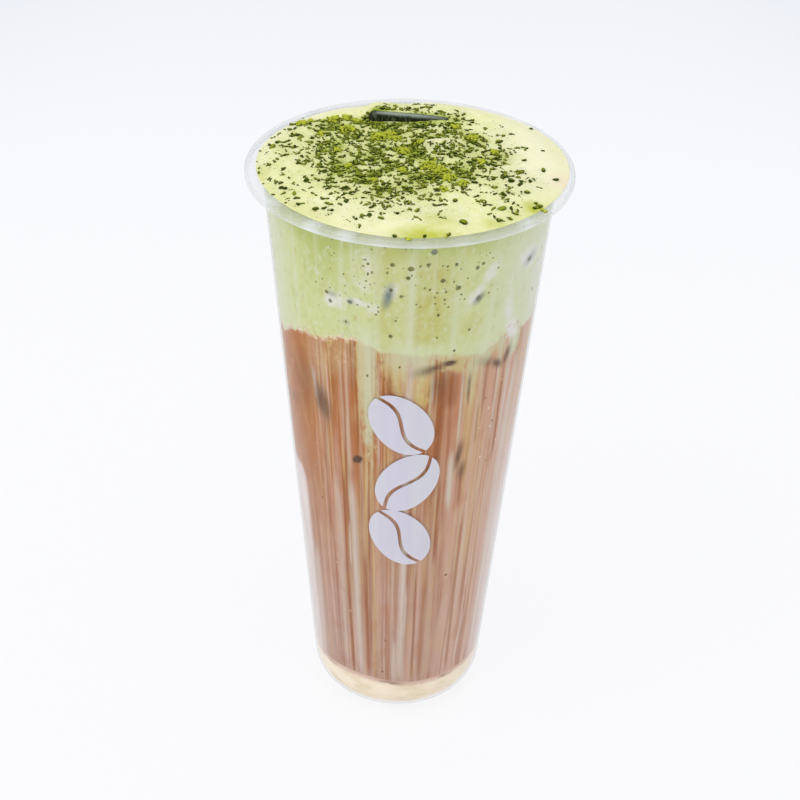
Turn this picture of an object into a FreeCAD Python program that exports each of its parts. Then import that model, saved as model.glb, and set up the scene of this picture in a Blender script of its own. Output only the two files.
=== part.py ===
"""A tall clear cold-drink cup filled with layered Vietnamese coffee.

From the bottom up: condensed milk, milky coffee and a thick matcha cream foam. The foam fills
the cup to its rim, runs out over the rim's flat top and is cut round one piece of ice that
breaks its surface. The cup stands on the XY plane with its axis on +Z, and -Y is its front.
All sizes are millimetres.
"""
import FreeCAD, Part
import math
import os

import Sketcher
from FreeCAD import Vector

OUT = "parts"

# alias: (value, what it sets)
SIZES = {
    "cup_height": (180.0, "base plane to the top of the rim"),
    "rim_radius": (45.0, "outermost radius of the rim"),
    "rim_width": (5.4, "the rim's flat top, from the inside of the wall outwards"),
    "rim_thickness": (0.9, "thickness of that flat top"),
    "rim_drop": (2.0, "height of the rim with its turned-down skirt"),
    "skirt_thickness": (1.0, "thickness of the skirt"),
    "rim_rounding": (0.8, "outer top edge of the rim"),
    "skirt_rounding": (0.4, "lower edges of the skirt"),
    "mouth_rounding": (0.6, "edge between the wall's inside and the rim"),
    "web_rounding": (0.7, "fillet between the wall's outside and the rim"),
    "toe_radius": (24.9, "inner radius of the wall's cone carried down to the base plane"),
    "wall": (0.8, "thickness of the wall, measured level"),
    "heel_rounding": (10.0, "outer rounding from the wall to the base"),
    "floor_thickness": (1.1, "thickness of the base"),
    "ring_width": (2.5, "flat ring that the cup stands on"),
    "foot_height": (1.6, "how far the middle of the base is pushed up"),
    "foot_slope": (1.2, "level width of the slope from the ring up to it"),
    "rib_margin": (2.2, "from the foot of that slope in to the moulded ring"),
    "rib_width": (0.8, "width of the moulded ring under the base"),
    "rib_height": (0.35, "height of the moulded ring"),
    "gate_radius": (1.6, "moulding gate in the middle of the underside"),
    "gate_height": (0.4, "height of the moulding gate"),
    "milk_depth": (15.2, "mean level of the condensed milk above the base plane"),
    "milk_waves": (0.5, "waves of that level along the wall"),
    "foam_depth": (40.0, "mean depth of the foam below the rim"),
    "foam_waves": (1.8, "waves of the foam's underside along the wall"),
    "foam_lean": (1.6, "how much higher that underside is on the left"),
    "crest_turn": (-118.0, "direction of those waves' highest crest, degrees from +X"),
    "foam_margin": (2.5, "mean bare width of the rim outside the foam"),
    "foam_shift": (0.7, "how far the foam has run out further to the right"),
    "foam_wander": (0.35, "how much its edge wanders"),
    "foam_ebb": (1.2, "how far the foam has stopped short at the back"),
    "ebb_turn": (104.0, "direction of the middle of that stretch, degrees from +X"),
    "foam_edge": (1.0, "thickness of the foam at that edge"),
    "edge_rounding": (0.65, "rounding of that edge"),
    "foam_rise": (0.8, "how much higher the foam stands in the middle"),
    "swell_height": (0.25, "soft swells of the foam's top"),
    "swell_pitch": (38.0, "distance between those swells"),
    "ice_width": (25.0, "ice, left to right"),
    "ice_depth": (7.0, "ice, front to back"),
    "ice_tall": (22.0, "ice, top to bottom"),
    "ice_rounding": (2.0, "melted edges of the ice"),
    "ice_clearance": (3.2, "least gap between the ice and the wall"),
    "ice_stand": (3.2, "top of the ice above the rim"),
    "ice_lean": (4.2, "tilt of the ice down to the right, degrees"),
    "bank_cover": (0.5, "foam lying on top of the ice"),
    "bank_setback": (1.6, "bare strip of the ice's top in front of that foam"),
    "bank_front": (2.0, "level width of the foam's rise onto the ice"),
    "bank_shoulder": (5.0, "how far the foam falls away beside the ice"),
}

# formulas of places that more than one feature uses
MOUTH = "(Sizes.rim_radius - Sizes.rim_width)"
SLOPE = f"(({MOUTH} - Sizes.toe_radius) / Sizes.cup_height)"
WEB_LEVEL = "(Sizes.cup_height - Sizes.rim_thickness)"
HEM_LEVEL = "(Sizes.cup_height - Sizes.rim_drop)"
SKIRT_RADIUS = "(Sizes.rim_radius - Sizes.skirt_thickness)"
MIDDLE_FLOOR = "(Sizes.floor_thickness + Sizes.foot_height)"
HEEL_RADIUS = f"(Sizes.toe_radius + Sizes.wall - Sizes.heel_rounding * (sqrt(1 + {SLOPE}^2) - {SLOPE}))"
RING_RADIUS = f"({HEEL_RADIUS} - Sizes.ring_width)"
FOOT_RADIUS = f"({RING_RADIUS} - Sizes.foot_slope)"
RIB_RADIUS = f"({FOOT_RADIUS} - Sizes.rib_margin)"
MIDDLE_WALL = "Sizes.floor_thickness / 2"


def inside_radius(level, offset="0"):
    """The formula of the wall's inner radius at a level, moved out by offset."""
    return f"(Sizes.toe_radius + {offset} + {SLOPE} * {level})"


def make_sheet(doc):
    """The driving dimensions, one alias a row, as plain numbers."""
    sheet = doc.addObject("Spreadsheet::Sheet", "Sizes")
    for row, (alias, (value, note)) in enumerate(SIZES.items(), start=1):
        sheet.set(f"A{row}", alias)
        sheet.set(f"B{row}", str(value))
        sheet.set(f"C{row}", note)
        sheet.setAlias(f"B{row}", alias)
    doc.recompute()
    return sheet


def attached_sketch(body, name, role):
    """A new sketch on one of the body's own origin planes."""
    sketch = body.newObject("Sketcher::SketchObject", name)
    plane = next(f for f in body.Origin.OriginFeatures if f.Role == role)
    sketch.AttachmentSupport = [(plane, "")]
    sketch.MapMode = "FlatFace"
    return sketch


def dimension(sketch, kind, where, formula):
    """A driving dimension that follows formula."""
    value = float(sketch.evalExpression(formula))
    index = sketch.addConstraint(Sketcher.Constraint(kind, *where, value))
    sketch.setExpression(f"Constraints[{index}]", formula)


def pin(sketch, line, end, place):
    """Dimensions one end of a line from the origin; place is its pair of formulas."""
    for kind, axis, formula in zip(("DistanceX", "DistanceY"), (-2, -1), place):
        if formula == "0":
            sketch.addConstraint(Sketcher.Constraint("PointOnObject", line, end, axis))
        else:
            dimension(sketch, kind, (-1, 1, line, end), formula)


def draw_lines(sketch, places):
    """Draws lines from place to place, joins them and dimensions each start."""
    points = [Vector(*(float(sketch.evalExpression(f)) for f in place), 0) for place in places]
    lines = [sketch.addGeometry(Part.LineSegment(a, b)) for a, b in zip(points, points[1:])]
    for line, following in zip(lines, lines[1:]):
        sketch.addConstraint(Sketcher.Constraint("Coincident", line, 2, following, 1))
    for line, place in zip(lines, places):
        pin(sketch, line, 1, place)
    return lines


def revolved_polygon(doc, body, name, corners):
    """A solid of revolution about Z from a closed half section with the given corners."""
    sketch = attached_sketch(body, f"{name}_section", "XZ_Plane")
    lines = draw_lines(sketch, [*corners, corners[0]])
    sketch.addConstraint(Sketcher.Constraint("Coincident", lines[-1], 2, lines[0], 1))
    return revolved(doc, body, name, sketch)


def revolved(doc, body, name, sketch):
    doc.recompute()
    turn = body.newObject("PartDesign::Revolution", name)
    turn.Profile = sketch
    turn.ReferenceAxis = (sketch, ["V_Axis"])
    turn.Angle = 360.0
    doc.recompute()
    return turn


def circles_at(shape, places):
    """The names of the shape's full circles at the given (radius, height) places."""
    return [
        f"Edge{number}"
        for number, edge in enumerate(shape.Edges, start=1)
        if isinstance(edge.Curve, Part.Circle)
        and any(math.dist((edge.Curve.Radius, edge.Curve.Center.z), p) < 1e-4 for p in places)
    ]


def rounded(doc, body, base, name, formula, places):
    """A fillet on the circles of base at the given pairs of formulas."""
    where = [tuple(float(base.evalExpression(f)) for f in place) for place in places]
    fillet = body.newObject("PartDesign::Fillet", name)
    fillet.Base = (base, circles_at(base.Shape, where))
    fillet.setExpression("Radius", formula)
    doc.recompute()
    return fillet


def make_cup(doc):
    """The clear cup: a cone with a round heel, a pushed-up base and a flat rim with a skirt."""
    body = doc.addObject("PartDesign::Body", "cup")
    heel = (inside_radius("0", "Sizes.wall"), "0")
    web = (inside_radius(WEB_LEVEL, "Sizes.wall"), WEB_LEVEL)
    hem_inside = (SKIRT_RADIUS, HEM_LEVEL)
    hem_outside = ("Sizes.rim_radius", HEM_LEVEL)
    rim_edge = ("Sizes.rim_radius", "Sizes.cup_height")
    mouth = (MOUTH, "Sizes.cup_height")
    moat = (inside_radius("Sizes.floor_thickness"), "Sizes.floor_thickness")
    wall = revolved_polygon(doc, body, "cup_wall", [
        ("0", "Sizes.foot_height"),
        (FOOT_RADIUS, "Sizes.foot_height"),
        (RING_RADIUS, "0"),
        heel,
        web,
        (SKIRT_RADIUS, WEB_LEVEL),
        hem_inside,
        hem_outside,
        rim_edge,
        mouth,
        moat,
        (RING_RADIUS, "Sizes.floor_thickness"),
        (FOOT_RADIUS, MIDDLE_FLOOR),
        ("0", MIDDLE_FLOOR),
    ])
    make_base_rib(doc, body)
    last = make_gate(doc, body)
    for name, formula, places in (
        ("heel_outside", "Sizes.heel_rounding", [heel]),
        ("heel_inside", "Sizes.heel_rounding - Sizes.wall", [moat]),
        ("web_fillet", "Sizes.web_rounding", [web]),
        ("rim_round", "Sizes.rim_rounding", [rim_edge]),
        ("hem_rounds", "Sizes.skirt_rounding", [hem_inside, hem_outside]),
        ("mouth_round", "Sizes.mouth_rounding", [mouth]),
    ):
        last = rounded(doc, body, last, name, formula, places)
    return body


def make_base_rib(doc, body):
    """A low moulded ring on the underside of the push-up."""
    low = "(Sizes.foot_height - Sizes.rib_height)"
    high = f"(Sizes.foot_height + {MIDDLE_WALL})"
    near = f"({RIB_RADIUS} - Sizes.rib_width / 2)"
    far = f"({RIB_RADIUS} + Sizes.rib_width / 2)"
    revolved_polygon(doc, body, "base_rib", [(near, low), (far, low), (far, high), (near, high)])


def make_gate(doc, body):
    """The round stub where the mould was filled."""
    sketch = attached_sketch(body, "gate_circle", "XY_Plane")
    sketch.setExpression("AttachmentOffset.Base.z", "Sizes.foot_height - Sizes.gate_height")
    ring = sketch.addGeometry(Part.Circle(Vector(), Vector(0, 0, 1), 1))
    sketch.addConstraint(Sketcher.Constraint("Coincident", ring, 3, -1, 1))
    dimension(sketch, "Radius", (ring,), "Sizes.gate_radius")
    doc.recompute()
    gate = body.newObject("PartDesign::Pad", "gate")
    gate.Profile = sketch
    gate.setExpression("Length", f"Sizes.gate_height + {MIDDLE_WALL}")
    doc.recompute()
    return gate


def make_inside(doc):
    """The whole space in the cup, from its floor to the top of its rim, which the layers share out."""
    body = doc.addObject("PartDesign::Body", "inside")
    sketch = attached_sketch(body, "inside_section", "XZ_Plane")
    moat = (inside_radius("Sizes.floor_thickness"), "Sizes.floor_thickness")
    lip_level = "(Sizes.cup_height - Sizes.mouth_rounding)"
    lines = draw_lines(sketch, [
        ("0", "Sizes.cup_height"),
        ("0", MIDDLE_FLOOR),
        (FOOT_RADIUS, MIDDLE_FLOOR),
        (RING_RADIUS, "Sizes.floor_thickness"),
        moat,
        (inside_radius(lip_level), lip_level),
    ])
    cone = lines[-1]
    close_mouth(sketch, cone, lines[0])
    space = revolved(doc, body, "inside_space", sketch)
    rounded(doc, body, space, "inside_heel", "Sizes.heel_rounding - Sizes.wall", [moat])
    return body


def close_mouth(sketch, cone, axis):
    """Lays the cone line on the wall and closes the section over the rounded mouth's arc."""
    rounding, level, mouth = (
        float(sketch.evalExpression(f)) for f in ("Sizes.mouth_rounding", "Sizes.cup_height", MOUTH)
    )
    centre = Vector(mouth + rounding, level - rounding, 0)
    circle = Part.Circle(centre, Vector(0, 0, 1), rounding)
    arc = sketch.addGeometry(Part.ArcOfCircle(circle, math.pi / 2, math.pi))
    top = sketch.addGeometry(Part.LineSegment(Vector(centre.x, level, 0), Vector(0, level, 0)))
    corner = sketch.addGeometry(Part.Point(Vector(mouth, level, 0)), True)
    pin(sketch, corner, 1, (MOUTH, "Sizes.cup_height"))
    dimension(sketch, "Radius", (arc,), "Sizes.mouth_rounding")
    for kind, *where in (
        ("PointOnObject", corner, 1, cone),
        ("Tangent", cone, 2, arc, 2),
        ("Tangent", arc, 1, top, 1),
        ("Coincident", top, 2, axis, 1),
        ("Horizontal", top),
    ):
        sketch.addConstraint(Sketcher.Constraint(kind, *where))


def height_prism(height, half, floor, count):
    """A solid whose top is the smooth surface z = height(x, y) over a square, down to about floor."""
    places = [half * (2 * i / (count - 1) - 1) for i in range(count)]
    rows = [[Vector(x, y, height(x, y)) for y in places] for x in places]
    surface = Part.BSplineSurface()
    surface.interpolate(rows)
    drop = max(point.z for row in rows for point in row) - floor
    return surface.toShape().extrude(Vector(0, 0, -drop))


def wavy_level(s, mean, lean, waves):
    """A level that is flat on the axis, leans to one side and has waves that grow towards the wall."""
    mouth = s.rim_radius - s.rim_width
    reach = s.toe_radius + (mouth - s.toe_radius) * mean / s.cup_height

    def level(x, y):
        share = min(math.hypot(x, y) / reach, 1.0)
        turned = math.atan2(y, x) - math.radians(s.crest_turn)
        crests = share**3 * math.cos(3 * turned) + share**5 * math.cos(5 * turned) / 2
        return mean - lean * x / reach + waves * crests

    return level


def step(value, low, high):
    """0 below low, 1 above high and smooth between them."""
    share = min(max((value - low) / (high - low), 0.0), 1.0)
    return share * share * (3 - 2 * share)


def foam_top(s, ice_front):
    """The level of the foam's top: a low dome with soft swells, and a bank that lies on the ice."""
    side = s.ice_width / 2
    foam_radius = s.rim_radius - s.foam_margin
    bank_start = ice_front + s.bank_setback
    wave = 2 * math.pi / s.swell_pitch

    def level(x, y):
        dome = s.foam_rise * max(0.0, 1 - (x * x + y * y) / foam_radius**2)
        swell = s.swell_height * (math.sin(wave * x) * math.cos(wave * y) + math.sin(wave * (x + 2 * y)) / 2)
        plain = s.foam_edge + dome + swell
        ice = s.ice_stand - x * math.tan(math.radians(s.ice_lean))
        along = step(x, -side - s.bank_shoulder, -side) * (1 - step(x, side, side + s.bank_shoulder))
        across = step(y, bank_start, bank_start + s.bank_front)
        across *= 1 - step(y, ice_front + s.ice_depth, foam_radius - s.foam_ebb)
        bank = max(0.0, ice + s.bank_cover - plain)
        return s.cup_height + plain + bank * along * across

    return level


def foam_outline(s):
    """The closed curve of the foam's edge on the rim's flat top."""
    count = 24
    points = []
    for i in range(count):
        turn = 2 * math.pi * i / count
        wander = s.foam_wander * (math.sin(3 * turn) + math.cos(4 * turn)) / 2
        ebb = s.foam_ebb * max(0.0, math.cos(turn - math.radians(s.ebb_turn))) ** 4
        radius = s.rim_radius - s.foam_margin + s.foam_shift * math.cos(turn) + wander - ebb
        points.append(Vector(radius * math.cos(turn), radius * math.sin(turn), s.cup_height))
    curve = Part.BSplineCurve()
    curve.interpolate(points, PeriodicFlag=True)
    return curve


def make_foam_cap(doc, s, ice_front):
    """The foam above the rim, with its edge rounded where it lies on the rim."""
    column = Part.Face(Part.Wire(foam_outline(s).toShape())).extrude(Vector(0, 0, s.rim_radius))
    under_top = height_prism(foam_top(s, ice_front), 1.1 * s.rim_radius, 0.9 * s.cup_height, 57)
    cap = column.common(under_top)
    edge = [
        e for e in cap.Edges
        if e.BoundBox.ZMin > s.cup_height + s.foam_edge / 4 and e.Length > s.rim_radius
    ]
    feature = doc.addObject("Part::Feature", "foam_cap")
    feature.Shape = cap.makeFillet(s.edge_rounding, edge)
    return feature


def make_ice(doc):
    """A half-dice piece of ice with melted edges, standing in the foam against the back of the cup."""
    body = doc.addObject("PartDesign::Body", "ice")
    block = body.newObject("PartDesign::AdditiveBox", "ice_block")
    for side, formula in (
        ("Length", "Sizes.ice_width"),
        ("Width", "Sizes.ice_depth"),
        ("Height", "Sizes.ice_tall"),
        ("Placement.Base.x", "-Sizes.ice_width / 2"),
        ("Placement.Base.z", "-Sizes.ice_tall"),
    ):
        block.setExpression(side, formula)
    doc.recompute()
    melt = body.newObject("PartDesign::Fillet", "ice_melt")
    melt.Base = (block, [f"Edge{n}" for n in range(1, len(block.Shape.Edges) + 1)])
    melt.setExpression("Radius", "Sizes.ice_rounding")
    foot_level = "(Sizes.cup_height + Sizes.ice_stand - Sizes.ice_tall)"
    reach = f"({inside_radius(foot_level)} - Sizes.ice_clearance)"
    body.Placement.Rotation = FreeCAD.Rotation(Vector(0, 1, 0), 1)
    body.setExpression("Placement.Rotation.Angle", "Sizes.ice_lean")
    body.setExpression("Placement.Base.y", f"sqrt({reach}^2 - (Sizes.ice_width / 2)^2) - Sizes.ice_depth")
    body.setExpression("Placement.Base.z", "Sizes.cup_height + Sizes.ice_stand")
    doc.recompute()
    return body


def combined(doc, kind, name, base, tool):
    """A Part boolean of two objects."""
    made = doc.addObject(f"Part::{kind}", name)
    made.Base = base
    made.Tool = tool
    doc.recompute()
    return made


def level_solid(doc, name, s, level):
    """Everything below a wavy level."""
    feature = doc.addObject("Part::Feature", name)
    feature.Shape = height_prism(level, 1.1 * s.rim_radius, -s.rim_radius, 25)
    return feature


def make_layers(doc, s):
    """The three layers that share the cup's inside, and the ice that the foam is cut round."""
    inside = make_inside(doc)
    milk_level = wavy_level(s, s.milk_depth, 0.0, s.milk_waves)
    foam_level = wavy_level(s, s.cup_height - s.foam_depth, s.foam_lean, s.foam_waves)
    below_milk = level_solid(doc, "below_milk_level", s, milk_level)
    below_foam = level_solid(doc, "below_foam_level", s, foam_level)

    combined(doc, "Common", "condensed_milk", inside, below_milk)
    filled = combined(doc, "Common", "filled_below_foam", inside, below_foam)
    combined(doc, "Cut", "coffee", filled, below_milk)

    ice = make_ice(doc)
    core = combined(doc, "Cut", "foam_core", inside, below_foam)
    cap = make_foam_cap(doc, s, ice.Placement.Base.y)
    whole = combined(doc, "Fuse", "foam_whole", core, cap)
    combined(doc, "Cut", "matcha_foam", whole, ice)


def check(doc):
    """Stops on any object that failed to build."""
    failed = [o.Name for o in doc.Objects if {"Invalid", "Error"} & set(o.State)]
    if failed:
        raise RuntimeError(f"these objects failed: {failed}")


def export(doc, label):
    """Writes one sub-part and says what it is."""
    feature = doc.getObject(label)
    feature.Label = label
    shape = feature.Shape
    if shape.isNull() or not shape.isValid() or shape.Volume <= 0:
        raise RuntimeError(f"{label} has no valid shape")
    shape.exportStep(os.path.join(OUT, f"{label}.step"))
    box = shape.optimalBoundingBox()
    print(
        f"{label}: {len(shape.Solids)} solid, {shape.Volume / 1000:.2f} cm3, "
        f"z {box.ZMin:.2f} to {box.ZMax:.2f}, {box.XLength:.2f} x {box.YLength:.2f}"
    )


def main():
    doc = FreeCAD.newDocument("layered_coffee")
    sheet = make_sheet(doc)
    make_cup(doc)
    make_layers(doc, sheet)
    doc.recompute()
    check(doc)
    os.makedirs(OUT, exist_ok=True)
    for label in ("cup", "condensed_milk", "coffee", "matcha_foam", "ice"):
        export(doc, label)


main()
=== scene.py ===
"""Dresses the clear cup of layered iced coffee: its plastic, the three layers, ice, powder and print.

Shapes are worked out in millimetres and turned into metres when a mesh is made. An azimuth is
measured round the cup's axis from the front, -Y, and grows towards the right, +X.
"""

import math

import bmesh
import bpy
import numpy as np
from bpy.props import FloatProperty, FloatVectorProperty, IntProperty, PointerProperty
from mathutils import Matrix, Vector


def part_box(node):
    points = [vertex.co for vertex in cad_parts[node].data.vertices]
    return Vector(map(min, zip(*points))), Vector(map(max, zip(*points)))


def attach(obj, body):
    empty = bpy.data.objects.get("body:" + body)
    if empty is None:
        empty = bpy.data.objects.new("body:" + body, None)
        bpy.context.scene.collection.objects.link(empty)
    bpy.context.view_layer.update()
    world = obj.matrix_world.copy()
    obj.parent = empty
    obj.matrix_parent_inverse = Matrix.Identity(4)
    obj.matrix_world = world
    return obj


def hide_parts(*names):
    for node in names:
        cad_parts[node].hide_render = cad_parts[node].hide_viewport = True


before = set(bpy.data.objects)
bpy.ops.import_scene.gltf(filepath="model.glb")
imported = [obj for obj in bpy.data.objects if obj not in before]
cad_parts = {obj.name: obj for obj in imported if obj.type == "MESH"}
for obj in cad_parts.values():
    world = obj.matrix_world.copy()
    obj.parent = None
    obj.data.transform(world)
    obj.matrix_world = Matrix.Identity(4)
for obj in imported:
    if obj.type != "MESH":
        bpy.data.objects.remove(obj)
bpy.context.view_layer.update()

bl_info = {
    "name": "Layered Iced Coffee",
    "version": (1, 0, 0),
    "blender": (4, 5, 0),
    "location": "3D View > Sidebar > Iced Coffee",
    "description": "Dresses a cup of layered iced coffee with its plastic, layers, ice, powder and print",
    "category": "Object",
}

MM = 0.001
TAU = 2 * np.pi


# ---------------------------------------------------------------- the frame, in millimetres

def node_box(node):
    """Lowest and highest corner of a CAD node, in millimetres."""
    low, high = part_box(node)
    return np.array(low) / MM, np.array(high) / MM


CUP_HIGH = node_box("cup")[1]
MILK_LOW, MILK_HIGH = node_box("condensed_milk")
FOAM_HIGH = node_box("matcha_foam")[1]
ICE_LOW, ICE_HIGH = node_box("ice")
HEIGHT = float(CUP_HIGH[2])
RIM_RADIUS = float(CUP_HIGH[0])


# ---------------------------------------------------------------- settings

def length(name, description, millimetres):
    """A length property whose default is given in millimetres."""
    return FloatProperty(name=name, description=description, default=millimetres * MM, unit="LENGTH")


def bearing(name, description, degrees):
    """An angle property whose default is given in degrees."""
    angle = math.radians(degrees)
    return FloatProperty(name=name, description=description, default=angle, subtype="ANGLE")


def share(name, description, default):
    """A property from 0 to 1."""
    return FloatProperty(
        name=name, description=description, default=default, min=0.0, max=1.0, subtype="FACTOR",
    )


def colour(name, description, red, green, blue):
    """A colour property whose default is given in 0 to 255 display values."""
    def linear(value):
        value /= 255
        return value / 12.92 if value <= 0.04045 else ((value + 0.055) / 1.055) ** 2.4

    return FloatVectorProperty(
        name=name, description=description, subtype="COLOR", size=3, min=0.0, max=1.0,
        default=(linear(red), linear(green), linear(blue)),
    )


class CupSettings(bpy.types.PropertyGroup):
    """Sizes and finish of the clear cup."""
    rim_width: length("Rim width", "From the inside of the wall to the rim's edge", 5.4)
    rim_thickness: length("Rim thickness", "Thickness of the rim's flat top", 0.9)
    rim_drop: length("Rim drop", "Height of the rim with its skirt", 2.0)
    skirt: length("Skirt thickness", "Thickness of the turned-down skirt", 1.0)
    rim_rounding: length("Rim rounding", "Outer top edge of the rim", 0.8)
    mouth_rounding: length("Mouth rounding", "Edge between wall and rim", 0.6)
    toe_radius: length("Toe radius", "Inner radius of the wall carried down to the base plane", 24.9)
    wall: length("Wall", "Wall thickness", 0.8)
    heel_rounding: length("Heel rounding", "Outer rounding from wall to base", 10.0)
    floor: length("Floor thickness", "Thickness of the base", 1.1)
    ring_width: length("Standing ring", "Width of the ring that the cup stands on", 2.5)
    foot_height: length("Push-up", "How far the middle of the base is pushed up", 1.6)
    foot_slope: length("Push-up slope", "Level width of the slope round the push-up", 1.2)
    wall_haze: share("Wall haze", "Milkiness of the wall seen square on", 0.01)
    rim_haze: share("Rim haze", "Milkiness of the thicker rim", 0.38)
    haze: colour("Haze", "Colour of the plastic's milkiness", 250, 252, 253)


class DrinkSettings(bpy.types.PropertyGroup):
    """Colours of the condensed milk and the coffee."""
    reach: length("Reach", "How far the contents reach into the wall, so that no gap shows", 0.3)
    wave: length("Milk waves", "Waves of the condensed milk's level", 0.5)
    coffee: colour("Coffee", "Milky coffee, high in the cup", 177, 102, 24)
    low: colour("Low coffee", "Milkier coffee, low in the cup", 184, 150, 134)
    dark: colour("Dark streaks", "Coffee with the least milk", 152, 84, 36)
    blush: colour("Blush streaks", "Coffee with more milk", 208, 166, 148)
    tan: colour("Tan streaks", "Coffee with a little matcha cream", 204, 168, 112)
    cream: colour("Cream streaks", "Cream drawn down through the coffee", 212, 196, 182)
    swirl: colour("Swirl", "Coffee and matcha cream half mixed", 204, 176, 104)
    pale: colour("Pale coffee", "Coffee on the paler side", 222, 184, 162)
    wisp: colour("Wisps", "Thin matcha cream in the coffee", 206, 205, 170)
    film: colour("Film", "Milk that clings to the wall", 232, 218, 212)
    ice: colour("Sunken ice", "Shadow of the ice behind the wall", 96, 66, 44)
    froth: colour("Froth", "Small bright bubbles", 250, 232, 206)
    milk: colour("Condensed milk", "The layer at the foot", 253, 236, 210)


class FoamSettings(bpy.types.PropertyGroup):
    """Shape and colours of the matcha cream foam."""
    lean: length("Lean", "How much higher the foam's underside is on the left", 1.6)
    waves: length("Waves", "Waves of the foam's underside", 1.8)
    depth: length("Depth", "Mean depth of the foam below the rim", 40.0)
    margin: length("Margin", "Mean bare width of the rim", 2.5)
    shift: length("Shift", "How far the foam has run out further to the right", 0.7)
    wander: length("Wander", "How much its edge wanders", 0.35)
    ebb: length("Ebb", "How far it has stopped short at the back", 1.2)
    edge: length("Edge", "Thickness of the foam over the rim", 1.0)
    rise: length("Rise", "How much higher it stands in the middle", 0.8)
    swell: length("Swell", "Soft swells of its top", 0.25)
    top: colour("Top", "Foam seen from above", 248, 246, 186)
    moss: colour("Moss", "Foam that the powder has stained", 176, 188, 66)
    side: colour("Side", "Foam seen through the wall", 208, 213, 150)
    # the green is also painted as the shade that the rim casts on the foam below it
    green: colour("Green", "Foam that has taken up more matcha", 182, 192, 104)
    olive: colour("Olive", "Foam that has taken up coffee", 194, 188, 102)
    veil: colour("Veil", "Foam thinned where it has run down the wall", 216, 220, 190)
    air: colour("Air", "Air trapped between foam and wall", 232, 228, 226)
    slate: colour("Slate", "Hollow seen through the trapped air", 112, 124, 112)
    bubble: colour("Bubbles", "Inside of a bubble at the wall", 96, 98, 44)


class PowderSettings(bpy.types.PropertyGroup):
    """The sifted matcha on the foam."""
    granules: IntProperty(name="Granules", description="Dark granules on the foam", default=4650, min=1)
    crumbs: IntProperty(name="Crumbs", description="Fine crumbs between them", default=3000, min=1)
    size: length("Granule size", "Mean width of a granule", 0.62)
    # the dark colour is wet powder and also the painted shade low on each grain; the moist colour is the
    # painted light on its top
    dark: colour("Wet powder", "Powder that has soaked up cream", 52, 66, 12)
    moist_and_lit: colour("Moist powder", "Powder that is wet on one side only", 140, 150, 44)
    # the painted lit top of each fresh clump
    fresh: colour("Fresh powder", "Dry powder in clumps", 190, 196, 62)
    seed: IntProperty(name="Seed", description="Layout of the powder", default=7)


class PrintSettings(bpy.types.PropertyGroup):
    """The plain pattern printed on the wall."""
    low: length("Low edge", "Lowest point of the print", 66.0)
    high: length("High edge", "Highest point of the print", 128.0)
    lift: length("Ink", "Thickness of the ink", 0.05)
    ink: colour("Ink colour", "Translucent ink", 216, 211, 224)


class StageSettings(bpy.types.PropertyGroup):
    """Camera, lamps, floor and backdrop."""
    back: length("Camera distance", "From the cup's axis back to the camera", 419.0)
    up: length("Camera height", "Camera above the floor", 379.0)
    pitch: bearing("Pitch", "Camera's tilt down", 33.37)
    roll: bearing("Roll", "Camera's roll", 1.54)
    yaw: bearing("Yaw", "Camera's turn to the left", 0.14)
    lens: FloatProperty(name="Lens", description="Focal length in millimetres", default=75.96)
    sky: FloatProperty(name="Sky", description="Strength of the surrounding light", default=0.95)
    key: FloatProperty(name="Key", description="Power of the large soft lamp, in watts", default=1.5)
    glow: share("Glow", "How much of the card's brightness comes from itself, when looked at", 0.85)
    floor: colour("Floor", "Floor", 252, 252, 254)
    backdrop: colour("Backdrop", "Backdrop", 238, 240, 247)


# shades that only the materials use, as linear red, green and blue
CLEAR = (0.996, 0.997, 0.998)
DEEPER_MILK = (0.80, 0.66, 0.44)
CREAM_SHADE = (0.80, 0.81, 0.40)
CREAM_CURD = (0.74, 0.78, 0.30)
CREAM_LIGHT = (0.96, 0.93, 0.76)
CREAM_BARE = (0.97, 0.92, 0.66)
CREAM_WARM = (0.93, 0.74, 0.52)
MATCHA_STAIN = (0.34, 0.42, 0.05)
MATCHA_YELLOW = (0.56, 0.59, 0.06)
# painted shade low in each fresh clump
FRESH_SHADE = (0.12, 0.16, 0.010)
ICE_DARK = (0.016, 0.020, 0.008)
ICE_CLOUD = (0.08, 0.10, 0.05)
ICE_BRISTLE = (0.15, 0.18, 0.10)
ICE_HIGHLIGHT = (0.46, 0.50, 0.44)
WORN_INK = (0.80, 0.83, 0.86)
CARD_CORNER_SHADE = (0.78, 0.81, 0.88)
SURROUND = (0.95, 0.97, 1.0, 1.0)

GROUPS = {
    "cup": CupSettings, "drink": DrinkSettings, "foam": FoamSettings,
    "powder": PowderSettings, "print": PrintSettings, "stage": StageSettings,
}


class CoffeeSettings(bpy.types.PropertyGroup):
    """All the settings, one group for each operator's pieces."""
    cup: PointerProperty(type=CupSettings)
    drink: PointerProperty(type=DrinkSettings)
    foam: PointerProperty(type=FoamSettings)
    powder: PointerProperty(type=PowderSettings)
    print: PointerProperty(type=PrintSettings)
    stage: PointerProperty(type=StageSettings)


def settings(group):
    """One group of settings, by its name in GROUPS."""
    return getattr(bpy.context.scene.iced_coffee, group)


# ---------------------------------------------------------------- shared numpy shapes

def smooth(value, low, high):
    """0 below low, 1 above high and a smooth step between them; high may lie below low."""
    part = np.clip((value - low) / (high - low), 0.0, 1.0)
    return part * part * (3 - 2 * part)


def bump(value, middle, half):
    """1 at the middle, falling smoothly to 0 at half on either side."""
    return smooth(half - np.abs(value - middle), 0.0, half)


def gather(fields):
    """The strongest of several fields at each place."""
    return np.maximum.reduce(list(fields))


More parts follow.
